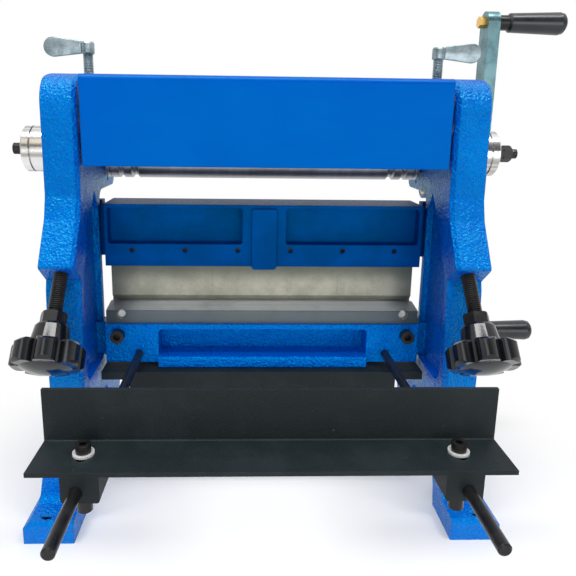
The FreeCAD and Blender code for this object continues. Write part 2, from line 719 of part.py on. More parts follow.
def pinion():
    """Crank gear, turned so that a gap faces a tooth of the driven gear."""
    a = math.radians(CRANK_TILT)
    tooth = 2 * math.pi / DRIVEN_TEETH
    lead = a / tooth - math.floor(a / tooth)
    phase = a + math.pi + (lead - 0.5) * 2 * math.pi / PINION_TEETH
    x1 = GEAR_X + GEAR_W
    return spur_gear(GEAR_M, PINION_TEETH, GEAR_X, x1, CRANK_Y, CRANK_Z, JOURNAL_D, phase)


def pinch_gear(z, phase):
    gear = spur_gear(PINCH_M, PINCH_TEETH, GEAR_X, GEAR_X + GEAR_W, ROLL_Y, z, JOURNAL_D, phase)
    return mirrored(gear)


def crank_shaft():
    """Crank spindle: journal, shoulder up to the arm and a square end."""
    j = JOURNAL_D / 2
    x0 = CRANK_BUSH_X + 1
    x1 = GEAR_X + GEAR_W
    profile = [(x0, 0), (x0, j - 1), (x0 + 1, j), (x1, j), (x1, j + 4)]
    profile += [(CRANK_X, j + 4), (CRANK_X, 0)]
    shaft = turned(profile, vec(0, CRANK_Y, CRANK_Z), X)
    s = CRANK_SQUARE / 2
    tenon = box(CRANK_X - 1, GRIP_X, CRANK_Y - s, CRANK_Y + s, CRANK_Z - s, CRANK_Z + s)
    shaft = shaft.fuse(tenon)
    return shaft.cut(rod_x(3.0, GRIP_X - 20, GRIP_X + 1, CRANK_Y, CRANK_Z))


def crank_arm():
    """Double-ended flat bar with a square hole and two grip-pin holes."""
    w = CRANK_W / 2
    end = GRIP_R + w
    y = CRANK_Y
    z = CRANK_Z
    outline = [(y - w, z - end, w - 0.01), (y + w, z - end, w - 0.01)]
    outline += [(y + w, z + end, w - 0.01), (y - w, z + end, w - 0.01)]
    arm = plate_x(outline, CRANK_X, GRIP_X)
    s = CRANK_SQUARE / 2
    arm = arm.cut(box(CRANK_X - 1, GRIP_X + 1, y - s, y + s, z - s, z + s))
    for side in (-GRIP_R, GRIP_R):
        arm = arm.cut(rod_x(PIN_D / 2, CRANK_X - 1, GRIP_X + 1, y, z + side))
    return arm


def crank_bolt():
    washer = rod_x(9.0, GRIP_X, GRIP_X + 2, CRANK_Y, CRANK_Z)
    washer = washer.cut(rod_x(3.0, GRIP_X - 1, GRIP_X + 3, CRANK_Y, CRANK_Z))
    bolt = socket_screw(6.0, 18, 10, 6, vec(GRIP_X + 2, CRANK_Y, CRANK_Z), X * -1)
    return group([washer, bolt])


def grip_pin(side):
    """Shouldered pin in the arm, on which a grip turns."""
    r = PIN_D / 2
    x = GRIP_X
    tip = CRANK_X - GRIP_NUT_H + 1.0
    profile = [(tip, 0), (tip, r - 1.5), (CRANK_X, r - 1.5), (CRANK_X, r), (x, r)]
    profile += [(x, r + 3), (x + GRIP_NECK, r + 3), (x + GRIP_NECK, r)]
    profile += [(x + GRIP_NECK + GRIP_LEN - 8, r), (x + GRIP_NECK + GRIP_LEN - 8, 0)]
    return turned(profile, vec(0, CRANK_Y, CRANK_Z + side), X)


def grip_nut(side):
    z = CRANK_Z + side
    nut = hexagon(GRIP_NUT_AF, GRIP_NUT_H, vec(CRANK_X - GRIP_NUT_H, CRANK_Y, z), X)
    hole = rod_x(PIN_D / 2 - 1.5, CRANK_X - GRIP_NUT_H + 1.0, CRANK_X + 1, CRANK_Y, z)
    return nut.cut(hole)


def grip(side):
    """Tapered handle, wider at the far end, hollow for its pin."""
    x0 = GRIP_X + GRIP_NECK + SEAT
    x1 = x0 + GRIP_LEN
    r1 = GRIP_D1 / 2
    r2 = GRIP_D2 / 2
    bore = PIN_D / 2 + RUN
    deep = x0 + GRIP_LEN - 7.5
    profile = [(x0, bore), (x0, r1 - 2), (x0 + 2, r1), (x1 - 7, r2), (x1 - 3, r2 - 1)]
    profile += [(x1 - 0.8, r2 - 3.5), (x1, r2 - 6), (x1, 0), (deep, 0), (deep, bore)]
    return turned(profile, vec(0, CRANK_Y, CRANK_Z + side), X)


# ---- ram drive ------------------------------------------------------------
def ram_crank(face, stud, stud_d):
    """Drive shaft in the frame: crank pin in the outer recess, disc and stud outside."""
    d = DISC_D / 2
    r = stud_d / 2
    x1 = OUTER + SLIDE
    profile = [(x1, 0), (x1, d - 1.5), (x1 + 1.5, d)]
    profile += [(face - 8, d), (face - 8, d - 3), (face - 6.8, d - 3), (face - 6.8, d)]
    profile += [(face - 1, d), (face, d - 1), (face, r)]
    profile += [(face + stud - 1, r), (face + stud, r - 1), (face + stud, 0)]
    shaft = rod_x(STUB_D / 2, INNER + 3 + SEAT, WEB, STUB_Y, STUB_Z)
    disc = turned(profile, vec(0, STUB_Y, STUB_Z), X)
    pin_y = STUB_Y + PIN_OUT
    pin_z = STUB_Z - PIN_LOW
    pin = rod_x(CRANK_PIN_D / 2, WEB - 1, x1 + 1, pin_y, pin_z)
    return shaft.fuse(pin).fuse(disc).removeSplitter()


def drive_nut(x):
    """One hexagon nut on the right stud; two of them lock each other."""
    nut = hexagon(DRIVE_NUT_AF, DRIVE_NUT_H, vec(x, STUB_Y, STUB_Z), X)
    bevel = turned([(0, 0), (0, DRIVE_NUT_AF * 0.52), (1, DRIVE_NUT_AF * 0.58),
                    (DRIVE_NUT_H - 1, DRIVE_NUT_AF * 0.58),
                    (DRIVE_NUT_H, DRIVE_NUT_AF * 0.52), (DRIVE_NUT_H, 0)], vec(x, STUB_Y, STUB_Z), X)
    nut = nut.common(bevel)
    return nut.cut(rod_x(STUD_THREAD / 2, x - 1, x + DRIVE_NUT_H + 1, STUB_Y, STUB_Z))


def ram_hanger():
    """Plate on the end of the ram, arm through the throat and link with its fork."""
    x0 = INNER + SEAT
    x1 = x0 + HANGER_T
    rear = HANGER_Y + HANGER_W
    arm = RAM_TOP + 0.5
    low = RAM_BOT + 6.6
    pad = [(HANGER_Y, low, 0), (rear, low, 0), (rear, arm, 0)]
    pad += [(HANGER_Y + 13, arm, 0), (HANGER_Y, arm - 14, 0)]
    plate = plate_x(pad, x0, x1)
    link_x = WEB + SLIDE
    link = plate_x(link_outline(0, 0), link_x, link_x + LINK_T)
    bar = [(HANGER_Y + 2, arm - 28.5, 0), (rear, arm - 28.5, 0), (rear, arm, 0)]
    bar += [(HANGER_Y + 13, arm, 0), (HANGER_Y + 2, arm - 12, 0)]
    plate = plate.fuse(plate_x(bar, x1 - 1, link_x + 1)).fuse(link)
    r = CRANK_PIN_D / 2 + SLIDE + RUN
    y1 = STUB_Y + THROW + 0.5
    z = STUB_Z - PIN_LOW
    slot = [(STUB_Y - 12, z - r, 0), (y1 + r, z - r, r - 0.01)]
    slot += [(y1 + r, z + r, r - 0.01), (STUB_Y - 12, z + r, 0)]
    plate = plate.cut(plate_x(slot, link_x - 1, link_x + LINK_T + 1))
    for z in HANGER_SCREW_Z:
        plate = plate.cut(hanger_screw(z))
        plate = plate.cut(rod_x(6.0, x1, link_x + LINK_T + 1, HANGER_SCREW_Y, z))
    return plate.removeSplitter()


def hanger_screw(z):
    """Countersunk screw, flush with the hanger."""
    x1 = INNER + SEAT + HANGER_T
    profile = [(0, 0), (0, 5.5), (2.5, 3.0), (18, 3.0), (18, 0)]
    return turned(profile, vec(x1, HANGER_SCREW_Y, z), X * -1)


# ---- ram and upper tools --------------------------------------------------
def ram():
    """Moving beam: front flange, pocket and centre rib, with a tongue each end."""
    half = RAM_W / 2
    body = box(-half, half, 0, RAM_DEPTH, RAM_BOT, RAM_TOP)
    low = RAM_BOT + RAM_FLANGE
    top = RAM_TOP - 3.5
    for x0, x1 in ((-half, -RIB_W / 2 - 6), (RIB_W / 2 + 6, half)):
        pocket = [(x0 + 3, low, 3), (x1 - 3, low, 3), (x1 - 3, top, 3), (x0 + 3, top, 3)]
        body = body.cut(plate_y(pocket, -1, RAM_POCKET))
        body = body.cut(plate_y(pocket, RAM_DEPTH - RAM_BACK_POCKET, RAM_DEPTH + 1))
    rib = [(-RIB_W / 2, RAM_BOT - 2.4, 3), (RIB_W / 2, RAM_BOT - 2.4, 3)]
    rib += [(RIB_W / 2, RAM_TOP - 3.5, 3), (-RIB_W / 2, RAM_TOP - 3.5, 3)]
    body = body.fuse(plate_y(rib, -3.5, 12))
    slot_top = DIE_BOT + DIE_H
    body = body.cut(box(-half - 1, half + 1, DIE_Y, DIE_Y + DIE_T, RAM_BOT - 3, slot_top))
    rear = HANGER_Y + HANGER_W
    tongue = box(half - 1, INNER + SEAT, HANGER_Y + 2, rear - 1, RAM_BOT + 7, RAM_TOP - 3.5)
    tongue = tongue.cut(box(half - 2, INNER + 1, DIE_Y, DIE_Y + DIE_T, RAM_BOT, slot_top))
    body = body.fuse(tongue).fuse(mirrored(tongue))
    for i in range(-2, 4):
        x = (i - 0.5) * CLAMP_PITCH
        body = body.cut(rod_y(2.5, x, -1, DIE_Y + 1, CLAMP_Z))
    for z in HANGER_SCREW_Z:
        screw = hanger_screw(z)
        body = body.cut(screw).cut(mirrored(screw))
    for x in BLADE_SCREWS:
        body = body.cut(rod_y(3.0, x, RAM_DEPTH - 12, RAM_DEPTH + 1, UPPER_BLADE_Z))
    return body.removeSplitter()


def clamp_screws():
    screws = []
    for i in range(-2, 4):
        x = (i - 0.5) * CLAMP_PITCH
        screw = rod_y(2.5, x, 5, DIE_Y, CLAMP_Z)
        screws.append(screw.cut(hexagon(2.5, 3, vec(x, 5, CLAMP_Z), Y)))
    return group(screws)


def finger_die(index):
    """One segment of the folding die, with a V edge."""
    total = sum(DIE_WIDTHS)
    x0 = -total / 2 + sum(DIE_WIDTHS[:index])
    x1 = x0 + DIE_WIDTHS[index]
    a = DIE_Y
    b = DIE_Y + DIE_T
    m = (a + b) / 2
    top = DIE_BOT + DIE_H
    outline = [(a, DIE_BOT + 5.5, 0), (m - 0.8, DIE_BOT, 0), (m + 0.8, DIE_BOT, 0)]
    outline += [(b, DIE_BOT + 5.5, 0), (b, top, 0), (a, top, 0)]
    return plate_x(outline, x0 + 0.05, x1 - 0.05)


def upper_blade():
    """Shear blade behind the ram, raked from end to end."""
    half = SHEET_W / 2
    low = DIE_LINE - BLADE_LAP
    outline = [(-half, low, 0), (half, low - BLADE_RAKE, 0)]
    outline += [(half, UPPER_BLADE_Z + 8, 0), (-half, UPPER_BLADE_Z + 8, 0)]
    blade = plate_y(outline, RAM_DEPTH, RAM_DEPTH + BLADE_T)
    for x in BLADE_SCREWS:
        blade = blade.cut(rod_y(3.0, x, RAM_DEPTH - 1, RAM_DEPTH + BLADE_T + 1, UPPER_BLADE_Z))
    return blade


def upper_blade_screws():
    y = RAM_DEPTH + BLADE_T
    z = UPPER_BLADE_Z
    return group([socket_screw(6.0, 18, 10, 6, vec(x, y, z), Y * -1) for x in BLADE_SCREWS])


def lower_blade():
    half = SHEET_W / 2
    y1 = RAM_DEPTH - BLADE_GAP
    blade = box(-half, half, y1 - BLADE_T, y1, DIE_LINE - BLADE_H, DIE_LINE)
    for x in LOWER_BLADE_SCREWS:
        blade = blade.cut(rod_y(3.0, x, y1 - BLADE_T - 1, y1 + 1, LOWER_BLADE_Z))
    for x in (-THROUGH_X, THROUGH_X):
        blade = blade.cut(rod_y(THROUGH_D / 2, x, y1 - BLADE_T - 1, y1 + 1, THROUGH_Z))
    return blade


# ---- lower die, bed and support bar ---------------------------------------
def lower_die(x0, x1):
    """Bar with a sloping top and the V groove under the finger dies."""
    m = DIE_Y + DIE_T / 2
    back = DIE_Y + DIE_T + 2
    top = DIE_LINE
    outline = [(BAR_FRONT, BAR_BOT, 0), (BAR_FRONT, top - 3, 1), (DIE_Y - 2, top, 0)]
    outline += [(m - 4, top, 0), (m, top - 4, 0), (m + 4, top, 0)]
    outline += [(back, top, 0), (back, BAR_BOT, 0)]
    bar = plate_x(outline, x0, x1)
    for x in (-THROUGH_X, THROUGH_X):
        bar = bar.cut(rod_y(THROUGH_D / 2, x, BAR_FRONT - 1, back + 1, THROUGH_Z))
    for x in DIE_SCREWS:
        bar = bar.cut(rod_z(3.0, x, DIE_SCREW_Y, BAR_BOT - 1, BAR_BOT + 9))
    return bar


def bed_screws():
    """Cap screws in the bed: lower blade, lower dies and support bar."""
    screws = []
    y = RAM_DEPTH - BLADE_GAP
    for x in LOWER_BLADE_SCREWS:
        screws.append(socket_screw(6.0, 20, 10, 6, vec(x, y, LOWER_BLADE_Z), Y * -1))
    z = BED_BOT + 7
    for x in DIE_SCREWS:
        screws.append(socket_screw(6.0, BAR_BOT - z + 9, 10, 6, vec(x, DIE_SCREW_Y, z), Z))
    z = LIP_BOT - SUPPORT_T
    for x in (-SUPPORT_BOLT_X, SUPPORT_BOLT_X):
        screws.append(socket_screw(6.0, SUPPORT_T + 10, 10, 6, vec(x, 2, z), Z))
    return group(screws)


def bed():
    """Cast bed: bolt flanges at the ends, pocket and lip between them."""
    half = BED_W / 2
    back = RAM_DEPTH - BLADE_GAP - BLADE_T
    body = box(-half, half, BED_FRONT, back, BED_BOT, BAR_BOT)
    p = POCKET_W / 2
    hollow = [(-p, LIP_TOP, 3), (p, LIP_TOP, 3), (p, BAR_BOT - 5, 4), (-p, BAR_BOT - 5, 4)]
    body = body.cut(plate_y(hollow, BED_FRONT - 1, BED_FRONT + 24))
    lip = [(LIP_Y, LIP_BOT, 1), (LIP_Y, LIP_TOP, 2), (BED_FRONT + 24, LIP_TOP, 0)]
    lip += [(BED_FRONT + 24, LIP_BOT, 0)]
    body = body.fuse(plate_x(lip, -p, p))
    seat_x = BED_BOLT_X - 14 - SEAT
    seat = box(seat_x, half + 1, BED_FRONT + 10, back + 1, BED_BOT - 1, BAR_BOT + 1)
    body = body.cut(seat).cut(mirrored(seat))
    for x in (-BED_BOLT_X, BED_BOLT_X):
        body = body.cut(rod_y(4.0, x, BED_FRONT - 1, BED_FRONT + 11, BED_BOLT_Z))
    for x in (-ROD_X, ROD_X):
        body = body.cut(rod_y(ROD_D / 2, x, BED_FRONT - 1, BED_FRONT + ROD_GRIP, ROD_Z))
    for x in DIE_SCREWS:
        body = body.cut(rod_z(3.0, x, DIE_SCREW_Y, BED_BOT - 1, BAR_BOT + 1))
        body = body.cut(rod_z(5.0, x, DIE_SCREW_Y, BED_BOT - 1, BED_BOT + 7))
    for x in LOWER_BLADE_SCREWS:
        body = body.cut(rod_y(3.0, x, back - 12, back + 1, LOWER_BLADE_Z))
    for x in (-SUPPORT_BOLT_X, SUPPORT_BOLT_X):
        body = body.cut(rod_z(3.0, x, 2, LIP_BOT - 1, LIP_TOP - 1))
    return body.removeSplitter()


def bed_bolt():
    origin = vec(BED_BOLT_X, BED_FRONT, BED_BOLT_Z)
    return socket_screw(8.0, 25, 13, 8, origin, Y)


def support_bar():
    """Black bar under the bed lip, deeper between the gauge rods."""
    top = LIP_BOT
    half = BED_W / 2 + 2
    bar = box(-half, half, SUPPORT_FRONT, 14, top - SUPPORT_T, top)
    mid = ROD_X + 8
    low = top - SUPPORT_T - SUPPORT_DROP
    apron = [(-mid, top - 1, 0), (-mid, low, 6), (mid, low, 6), (mid, top - 1, 0)]
    bar = bar.fuse(plate_y(apron, SUPPORT_FRONT, SUPPORT_FRONT + 8))
    for x in (-SUPPORT_BOLT_X, SUPPORT_BOLT_X):
        bar = bar.cut(rod_z(3.0, x, 2, top - SUPPORT_T - 1, top + 1))
    return bar.removeSplitter()


# ---- back gauge -----------------------------------------------------------
def gauge_rod():
    r = ROD_D / 2
    profile = [(ROD_END, 0), (ROD_END, r - 1), (ROD_END + 1, r)]
    profile += [(BED_FRONT + ROD_GRIP, r), (BED_FRONT + ROD_GRIP, 0)]
    return turned(profile, vec(ROD_X, 0, ROD_Z), Y)


def gauge_block():
    """Slider on a gauge rod, locked by a screw from below."""
    y0 = ANGLE_Y - ANGLE_LEG
    y1 = y0 + BLOCK_DEPTH
    outline = [(BLOCK_X0, BLOCK_BOT, 2), (BLOCK_X1, BLOCK_BOT, 2)]
    outline += [(BLOCK_X1, BLOCK_TOP, 0), (BLOCK_X0, BLOCK_TOP, 0)]
    block = plate_y(outline, y0, y1)
    block = block.cut(rod_y(ROD_D / 2 + RUN, ROD_X, y0 - 1, y1 + 1, ROD_Z))
    block = block.cut(rod_z(3.0, ROD_X, GAUGE_SCREW_Y, ROD_Z, BLOCK_TOP + 1))
    return block.cut(rod_z(3.0 + RUN, ROD_X, LOCK_Y, BLOCK_BOT - 1, ROD_Z))


def gauge_angle():
    """Angle bar that the sheet stops against."""
    t = ANGLE_T
    y = ANGLE_Y
    outline = [(y - ANGLE_LEG, BLOCK_TOP, 0), (y, BLOCK_TOP, 3), (y, BLOCK_TOP + ANGLE_LEG, 0)]
    outline += [(y - t, BLOCK_TOP + ANGLE_LEG, 0), (y - t, ANGLE_Z, 1), (y - ANGLE_LEG, ANGLE_Z, 0)]
    bar = plate_x(outline, -SHEET_W / 2, SHEET_W / 2)
    for x in (-ROD_X, ROD_X):
        s = GAUGE_SCREW_Y
        slot = [(x - 3.3, s - 9, 3.29), (x + 3.3, s - 9, 3.29)]
        slot += [(x + 3.3, s + 9, 3.29), (x - 3.3, s + 9, 3.29)]
        bar = bar.cut(plate_z(slot, BLOCK_TOP - 1, ANGLE_Z + 1))
    return bar


def gauge_washer():
    washer = rod_z(WASHER_D / 2, ROD_X, GAUGE_SCREW_Y, ANGLE_Z, ANGLE_Z + WASHER_T)
    return washer.cut(rod_z(3.0, ROD_X, GAUGE_SCREW_Y, ANGLE_Z - 1, ANGLE_Z + WASHER_T + 1))


def gauge_screw():
    top = ANGLE_Z + WASHER_T
    length = top - ROD_Z - ROD_D / 2 - 0.5
    return socket_screw(6.0, length, 10, 6, vec(ROD_X, GAUGE_SCREW_Y, top), Z * -1)


def lock_screw():
    z = ROD_Z - ROD_D / 2 - SEAT
    neck = BLOCK_BOT - 7
    profile = [(0, 0), (0, 3.0), (z - neck, 3.0), (z - neck, LOCK_HEAD_D / 2)]
    profile += [(z - neck + LOCK_HEAD_H, LOCK_HEAD_D / 2), (z - neck + LOCK_HEAD_H, 0)]
    return turned(profile, vec(ROD_X, LOCK_Y, z), Z * -1)


# ---- write the nodes ------------------------------------------------------
def main():
    save("right_side_frame", side_frame(True))
    save("left_side_frame", mirrored(side_frame(False)))
    save("top_cover", cover())
    save("cover_brackets", both_sides(cover_bracket()))
    save("bracket_screws", both_sides(bracket_screw()))
    save("cover_screws", both_sides(cover_screw()))

    save("lower_pinch_roll", lower_roll())
    save("upper_pinch_roll", upper_roll())
    save("bending_roll", bending_roll())
    save("bending_axle", bending_axle())
    bush = roll_bush(INNER, WEB, ROLL_Y, LOWER_Z)
    crank_bush = roll_bush(CRANK_BUSH_X, OUTER, CRANK_Y, CRANK_Z)
    save("roll_bushes", group([bush, mirrored(bush), crank_bush]))
    save("upper_block_right", upper_block())
    save("upper_block_left", mirrored(upper_block()))
    save("bending_blocks", both_sides(bending_block()))
    save("adjusting_screw_right", adjusting_screw())
    save("adjusting_screw_left", mirrored(adjusting_screw()))
    save("star_knob_right", star_knob())
    save("star_knob_left", mirrored(star_knob()))
    save("lock_nut_right", lock_nut())
    save("lock_nut_left", mirrored(lock_nut()))
    save("thumb_screw_right", thumb_screw())
    save("thumb_screw_left", mirrored(thumb_screw()))

    save("driven_gear", driven_gear())
    save("crank_pinion", pinion())
    save("lower_pinch_gear", pinch_gear(LOWER_Z, math.pi / 2))
    save("upper_pinch_gear", pinch_gear(UPPER_Z, math.pi / 2))
    save("crank_shaft", crank_shaft())
    save("crank_arm", crank_arm())
    save("crank_bolt", crank_bolt())
    save("grip_pins", group([grip_pin(GRIP_R), grip_pin(-GRIP_R)]))
    save("grip_nuts", group([grip_nut(GRIP_R), grip_nut(-GRIP_R)]))
    save("grip_upper", grip(GRIP_R))
    save("grip_lower", grip(-GRIP_R))

    save("ram_crank_right", ram_crank(DISC_RIGHT, STUD_RIGHT, STUD_THREAD))
    save("ram_crank_left", mirrored(ram_crank(DISC_LEFT, STUD_LEFT, STUD_D)))
    nut_x = DISC_RIGHT + DRIVE_NUT_H + RUN
    save("drive_nut", group([drive_nut(DISC_RIGHT), drive_nut(nut_x)]))
    save("ram_hangers", both_sides(ram_hanger()))
    hanger_fixings = [hanger_screw(z) for z in HANGER_SCREW_Z]
    save("hanger_screws", both_sides(group(hanger_fixings)))

    save("ram", ram())
    save("die_clamp_screws", clamp_screws())
    save("finger_die_102", finger_die(0))
    save("finger_dies_76", group([finger_die(1), finger_die(3)]))
    save("finger_die_51", finger_die(2))
    save("upper_shear_blade", upper_blade())
    save("upper_blade_screws", upper_blade_screws())
    save("lower_shear_blade", lower_blade())

    half = BAR_W / 2
    save("lower_die_left", lower_die(-half, DIE_SPLIT))
    save("lower_die_right", lower_die(DIE_SPLIT, half))
    save("bed", bed())
    save("bed_bolts", both_sides(bed_bolt()))
    save("bed_screws", bed_screws())
    save("support_bar", support_bar())

    save("gauge_rods", both_sides(gauge_rod()))
    save("gauge_blocks", both_sides(gauge_block()))
    save("gauge_angle", gauge_angle())
    save("gauge_washers", both_sides(gauge_washer()))
    save("gauge_screws", both_sides(gauge_screw()))
    save("lock_screw_right", lock_screw())
    save("lock_screw_left", mirrored(lock_screw()))


main()
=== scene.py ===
# %% [markdown]
# # A bench machine that shears, folds and rolls sheet metal
#
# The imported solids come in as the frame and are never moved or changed. This
# lesson dresses them: thick enamel over cast iron, ground and oiled steel, black
# oxide, zinc, brass and moulded knobs, each as a pattern built from nodes. It
# then cuts the real threads, which the solids leave out, and sets up a studio.

import math

import bmesh
import bpy
from mathutils import Matrix, Vector


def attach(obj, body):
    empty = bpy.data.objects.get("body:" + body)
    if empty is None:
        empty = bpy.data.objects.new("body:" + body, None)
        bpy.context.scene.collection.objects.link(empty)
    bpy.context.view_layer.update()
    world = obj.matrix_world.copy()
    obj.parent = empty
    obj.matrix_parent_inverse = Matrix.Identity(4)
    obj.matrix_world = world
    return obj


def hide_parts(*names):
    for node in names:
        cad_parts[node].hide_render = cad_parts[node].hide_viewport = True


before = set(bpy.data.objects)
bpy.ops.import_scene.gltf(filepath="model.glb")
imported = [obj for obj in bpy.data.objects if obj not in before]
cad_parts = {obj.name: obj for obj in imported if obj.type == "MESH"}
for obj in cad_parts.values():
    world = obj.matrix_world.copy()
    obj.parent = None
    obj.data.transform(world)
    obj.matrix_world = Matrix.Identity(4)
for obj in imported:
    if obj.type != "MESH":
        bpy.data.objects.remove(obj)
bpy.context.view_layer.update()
MM = 0.001

# %% [markdown]
# ## Sums on sockets
#
# A pattern is a formula of the place on the object. Wiring Math nodes by hand
# hides the formula, so one small class wraps the output of a node, and a sum
# on it adds the Math node that does the sum. Every other node comes from one
# method, `Graph.node`, which takes its type, settings and sockets.


# %% A socket that does sums
class Sock:
    """A number or a colour on its way out of a node."""

    def __init__(self, graph, out):
        self.graph = graph
        self.out = out

    def sum(self, kind, *terms):
        return self.graph.node("ShaderNodeMath", {"operation": kind}, dict(enumerate(terms)))

    def __add__(self, other):
        return self.sum("ADD", self, other)

    def __sub__(self, other):
        return self.sum("SUBTRACT", self, other)

    def __rsub__(self, other):
        return self.sum("SUBTRACT", other, self)

    def __mul__(self, other):
        return self.sum("MULTIPLY", self, other)

    __radd__ = __add__
    __rmul__ = __mul__

    def sine(self):
        return self.sum("SINE", self)

    def size(self):
        return self.sum("ABSOLUTE", self)

    def root(self):
        return self.sum("SQRT", self)

    def larger(self, other):
        return self.sum("MAXIMUM", self, other)

    def rise(self, low, high, start=0.0, end=1.0):
        """Smooth change from start to end as the value goes from low to high."""
        sockets = {"Value": self, "From Min": low, "From Max": high, "To Min": start, "To Max": end}
        return self.graph.node("ShaderNodeMapRange", {"interpolation_type": "SMOOTHSTEP"}, sockets)


# %% The nodes of one material
EVEN = (1.0, 1.0, 1.0)
UNMOVED = (0.0, 0.0, 0.0)


class Graph:
    """Adds nodes to one tree; patterns read the object's own coordinates."""

    def __init__(self, tree):
        self.tree = tree

    def node(self, kind, settings=(), sockets=(), out=0):
        made = self.tree.nodes.new(kind)
        for key, value in dict(settings).items():
            setattr(made, key, value)
        for key, value in dict(sockets).items():
            self.plug(value, made.inputs[key])
        return Sock(self, made.outputs[out]) if made.outputs else None

    def plug(self, value, socket):
        if isinstance(value, Sock):
            self.tree.links.new(value.out, socket)
        elif socket.type == "RGBA":
            socket.default_value = (*value[:3], 1.0)
        else:
            socket.default_value = value

    def place(self):
        return self.node("ShaderNodeTexCoord", out="Object")

    def xyz(self):
        parts = self.node("ShaderNodeSeparateXYZ", {}, {0: self.place()})
        return [Sock(self, out) for out in parts.out.node.outputs]

    def stretched(self, stretch=EVEN, shift=UNMOVED):
        sockets = {"Vector": self.place(), "Scale": stretch, "Location": shift}
        return self.node("ShaderNodeMapping", {}, sockets)

    def noise(self, scale, detail=3.0, rough=0.5, stretch=EVEN, shift=UNMOVED):
        sockets = {"Vector": self.stretched(stretch, shift), "Scale": scale}
        sockets.update({"Detail": detail, "Roughness": rough})
        return self.node("ShaderNodeTexNoise", {}, sockets)

    def cells(self, scale):
        return self.node("ShaderNodeTexVoronoi", {}, {"Vector": self.stretched(), "Scale": scale})

    def mix(self, factor, first, second):
        return self.node("ShaderNodeMix", {"data_type": "RGBA"}, {0: factor, 6: first, 7: second}, 2)

    def bump(self, height, strength, depth, edge=0.0):
        """Normal of a pattern that is depth high, with the sharp edges eased."""
        sockets = {"Height": height, "Strength": strength, "Distance": depth}
        if edge:
            sockets["Normal"] = self.node("ShaderNodeBevel", {"samples": 4}, {"Radius": edge})
        return self.node("ShaderNodeBump", {}, sockets)


# %% A material from a recipe
def material(name, recipe, **fixed):
    """recipe(graph) gives the inputs that vary; fixed holds the plain numbers."""
    made = bpy.data.materials.new(name)
    made.use_nodes = True
    made.node_tree.nodes.clear()
    graph = Graph(made.node_tree)
    shader = graph.node("ShaderNodeBsdfPrincipled")
    inputs = shader.out.node.inputs
    for key, value in {**fixed, **recipe(graph)}.items():
        graph.plug(value, inputs[key.replace("_", " ")])
    graph.node("ShaderNodeOutputMaterial", {}, {"Surface": shader})
    return made


# %% [markdown]
# ## Enamel
#
# The castings are painted straight over the sand-cast skin, so the gloss paint
# shows its pebbles, and every edge is eased by the thickness of the paint. A
# Bevel node rounds the shading of sharp edges, and a Bump node on top of it
# adds the pebbles. The folded cover has only the faint peel of a spray gun.
# Highlights on this blue are tinted cyan by one constant on the shader. The
# bed and the legs stand in the shade, so their blue is mixed paler on purpose,
# as painted light.
# The moving beam's darker blue is painted shade, as under the cover.

# %% Blue paint
BLUE = (0.0, 0.052, 0.415)
BLUE_DEEP = (0.0, 0.036, 0.330)
BLUE_PALE = (0.0, 0.074, 0.480)
# a paler blue: painted light for the shaded lower castings
BLUE_PAINTED_LIGHT = (0.0, 0.110, 0.660)
PIT_BLUE = (0.0, 0.02, 0.14)
GLINT = (0.0, 1.0, 0.60)


def cast_enamel(g):
    """Paint on the castings. The legs get a paler mix, painted light to stay bright in the shade."""
    x, y, z = g.xyz()
    pebbles = g.cells(430.0) * 0.5 + g.noise(620.0, 2.0) * 0.5
    swell = g.noise(70.0, 3.0, 0.6)
    tone = g.noise(16.0, 2.0)
    pits = g.noise(210.0, 2.0, 0.5, EVEN, (4.0, 2.0, 1.0))
    colour = g.mix(tone.rise(0.35, 0.65), BLUE, BLUE_PALE)
    colour = g.mix(swell.rise(0.58, 0.80, 0.0, 0.5), colour, BLUE_DEEP)
    # painted light: towards the floor the castings are mixed paler, to stay bright in the shade of the
    # gauge
    colour = g.mix(z.rise(0.05, 0.20, 0.6, 0.0), colour, BLUE_PAINTED_LIGHT)
    return {
        "Base_Color": g.mix(pits.rise(0.74, 0.82, 0.0, 0.25), colour, PIT_BLUE),
        "Roughness": g.noise(120.0).rise(0.3, 0.7, 0.26, 0.38),
        "Normal": g.bump(pebbles + swell * 1.2, 0.95, 1.7 * MM, 1.3 * MM),
    }


def bed_enamel(g):
    """The same paint with more of the paler mix: painted light, as the bed stands in the shade."""
    made = cast_enamel(g)
    # painted light: a share of the paler blue lifts the shaded bed
    painted_light_share = g.noise(22.0, 2.0).rise(0.3, 0.7, 0.75, 0.95)
    made["Base_Color"] = g.mix(painted_light_share, made["Base_Color"], BLUE_PAINTED_LIGHT)
    return made


def ram_enamel(g):
    """The moving beam and its hangers are darker and duller than the castings; the darker blue is painted
    shade of the cover above.
    """
    film = g.noise(30.0, 3.0)
    skin = g.cells(430.0) * 0.4 + g.noise(300.0, 3.0) * 0.6
    return {
        # painted shade: the beam's two blues are darker than the castings' paint, for the cover's shadow
        "Base_Color": g.mix(film.rise(0.35, 0.7), (0.0, 0.022, 0.195), (0.0, 0.034, 0.265)),
        "Roughness": skin.rise(0.3, 0.7, 0.40, 0.52),
        "Normal": g.bump(skin, 0.35, 0.8 * MM, 1.2 * MM),
    }


def sheet_enamel(g):
    peel = g.noise(240.0, 2.0)
    waves = g.noise(9.0, 1.0)
    scuffs = g.noise(60.0, 5.0, 0.7, (0.3, 1.0, 1.0))
    colour = g.mix(waves.rise(0.3, 0.7), (0.0, 0.043, 0.360), (0.0, 0.050, 0.385))
    return {
        "Base_Color": g.mix(scuffs.rise(0.68, 0.78, 0.0, 0.20), colour, BLUE_PALE),
        "Roughness": scuffs.rise(0.35, 0.75, 0.36, 0.46),
        "Normal": g.bump(peel * 0.6 + waves, 0.10, 0.5 * MM, 1.2 * MM),
    }


def enamel(recipe, gloss):
    return material(recipe.__name__, recipe, Specular_Tint=GLINT, Specular_IOR_Level=gloss)


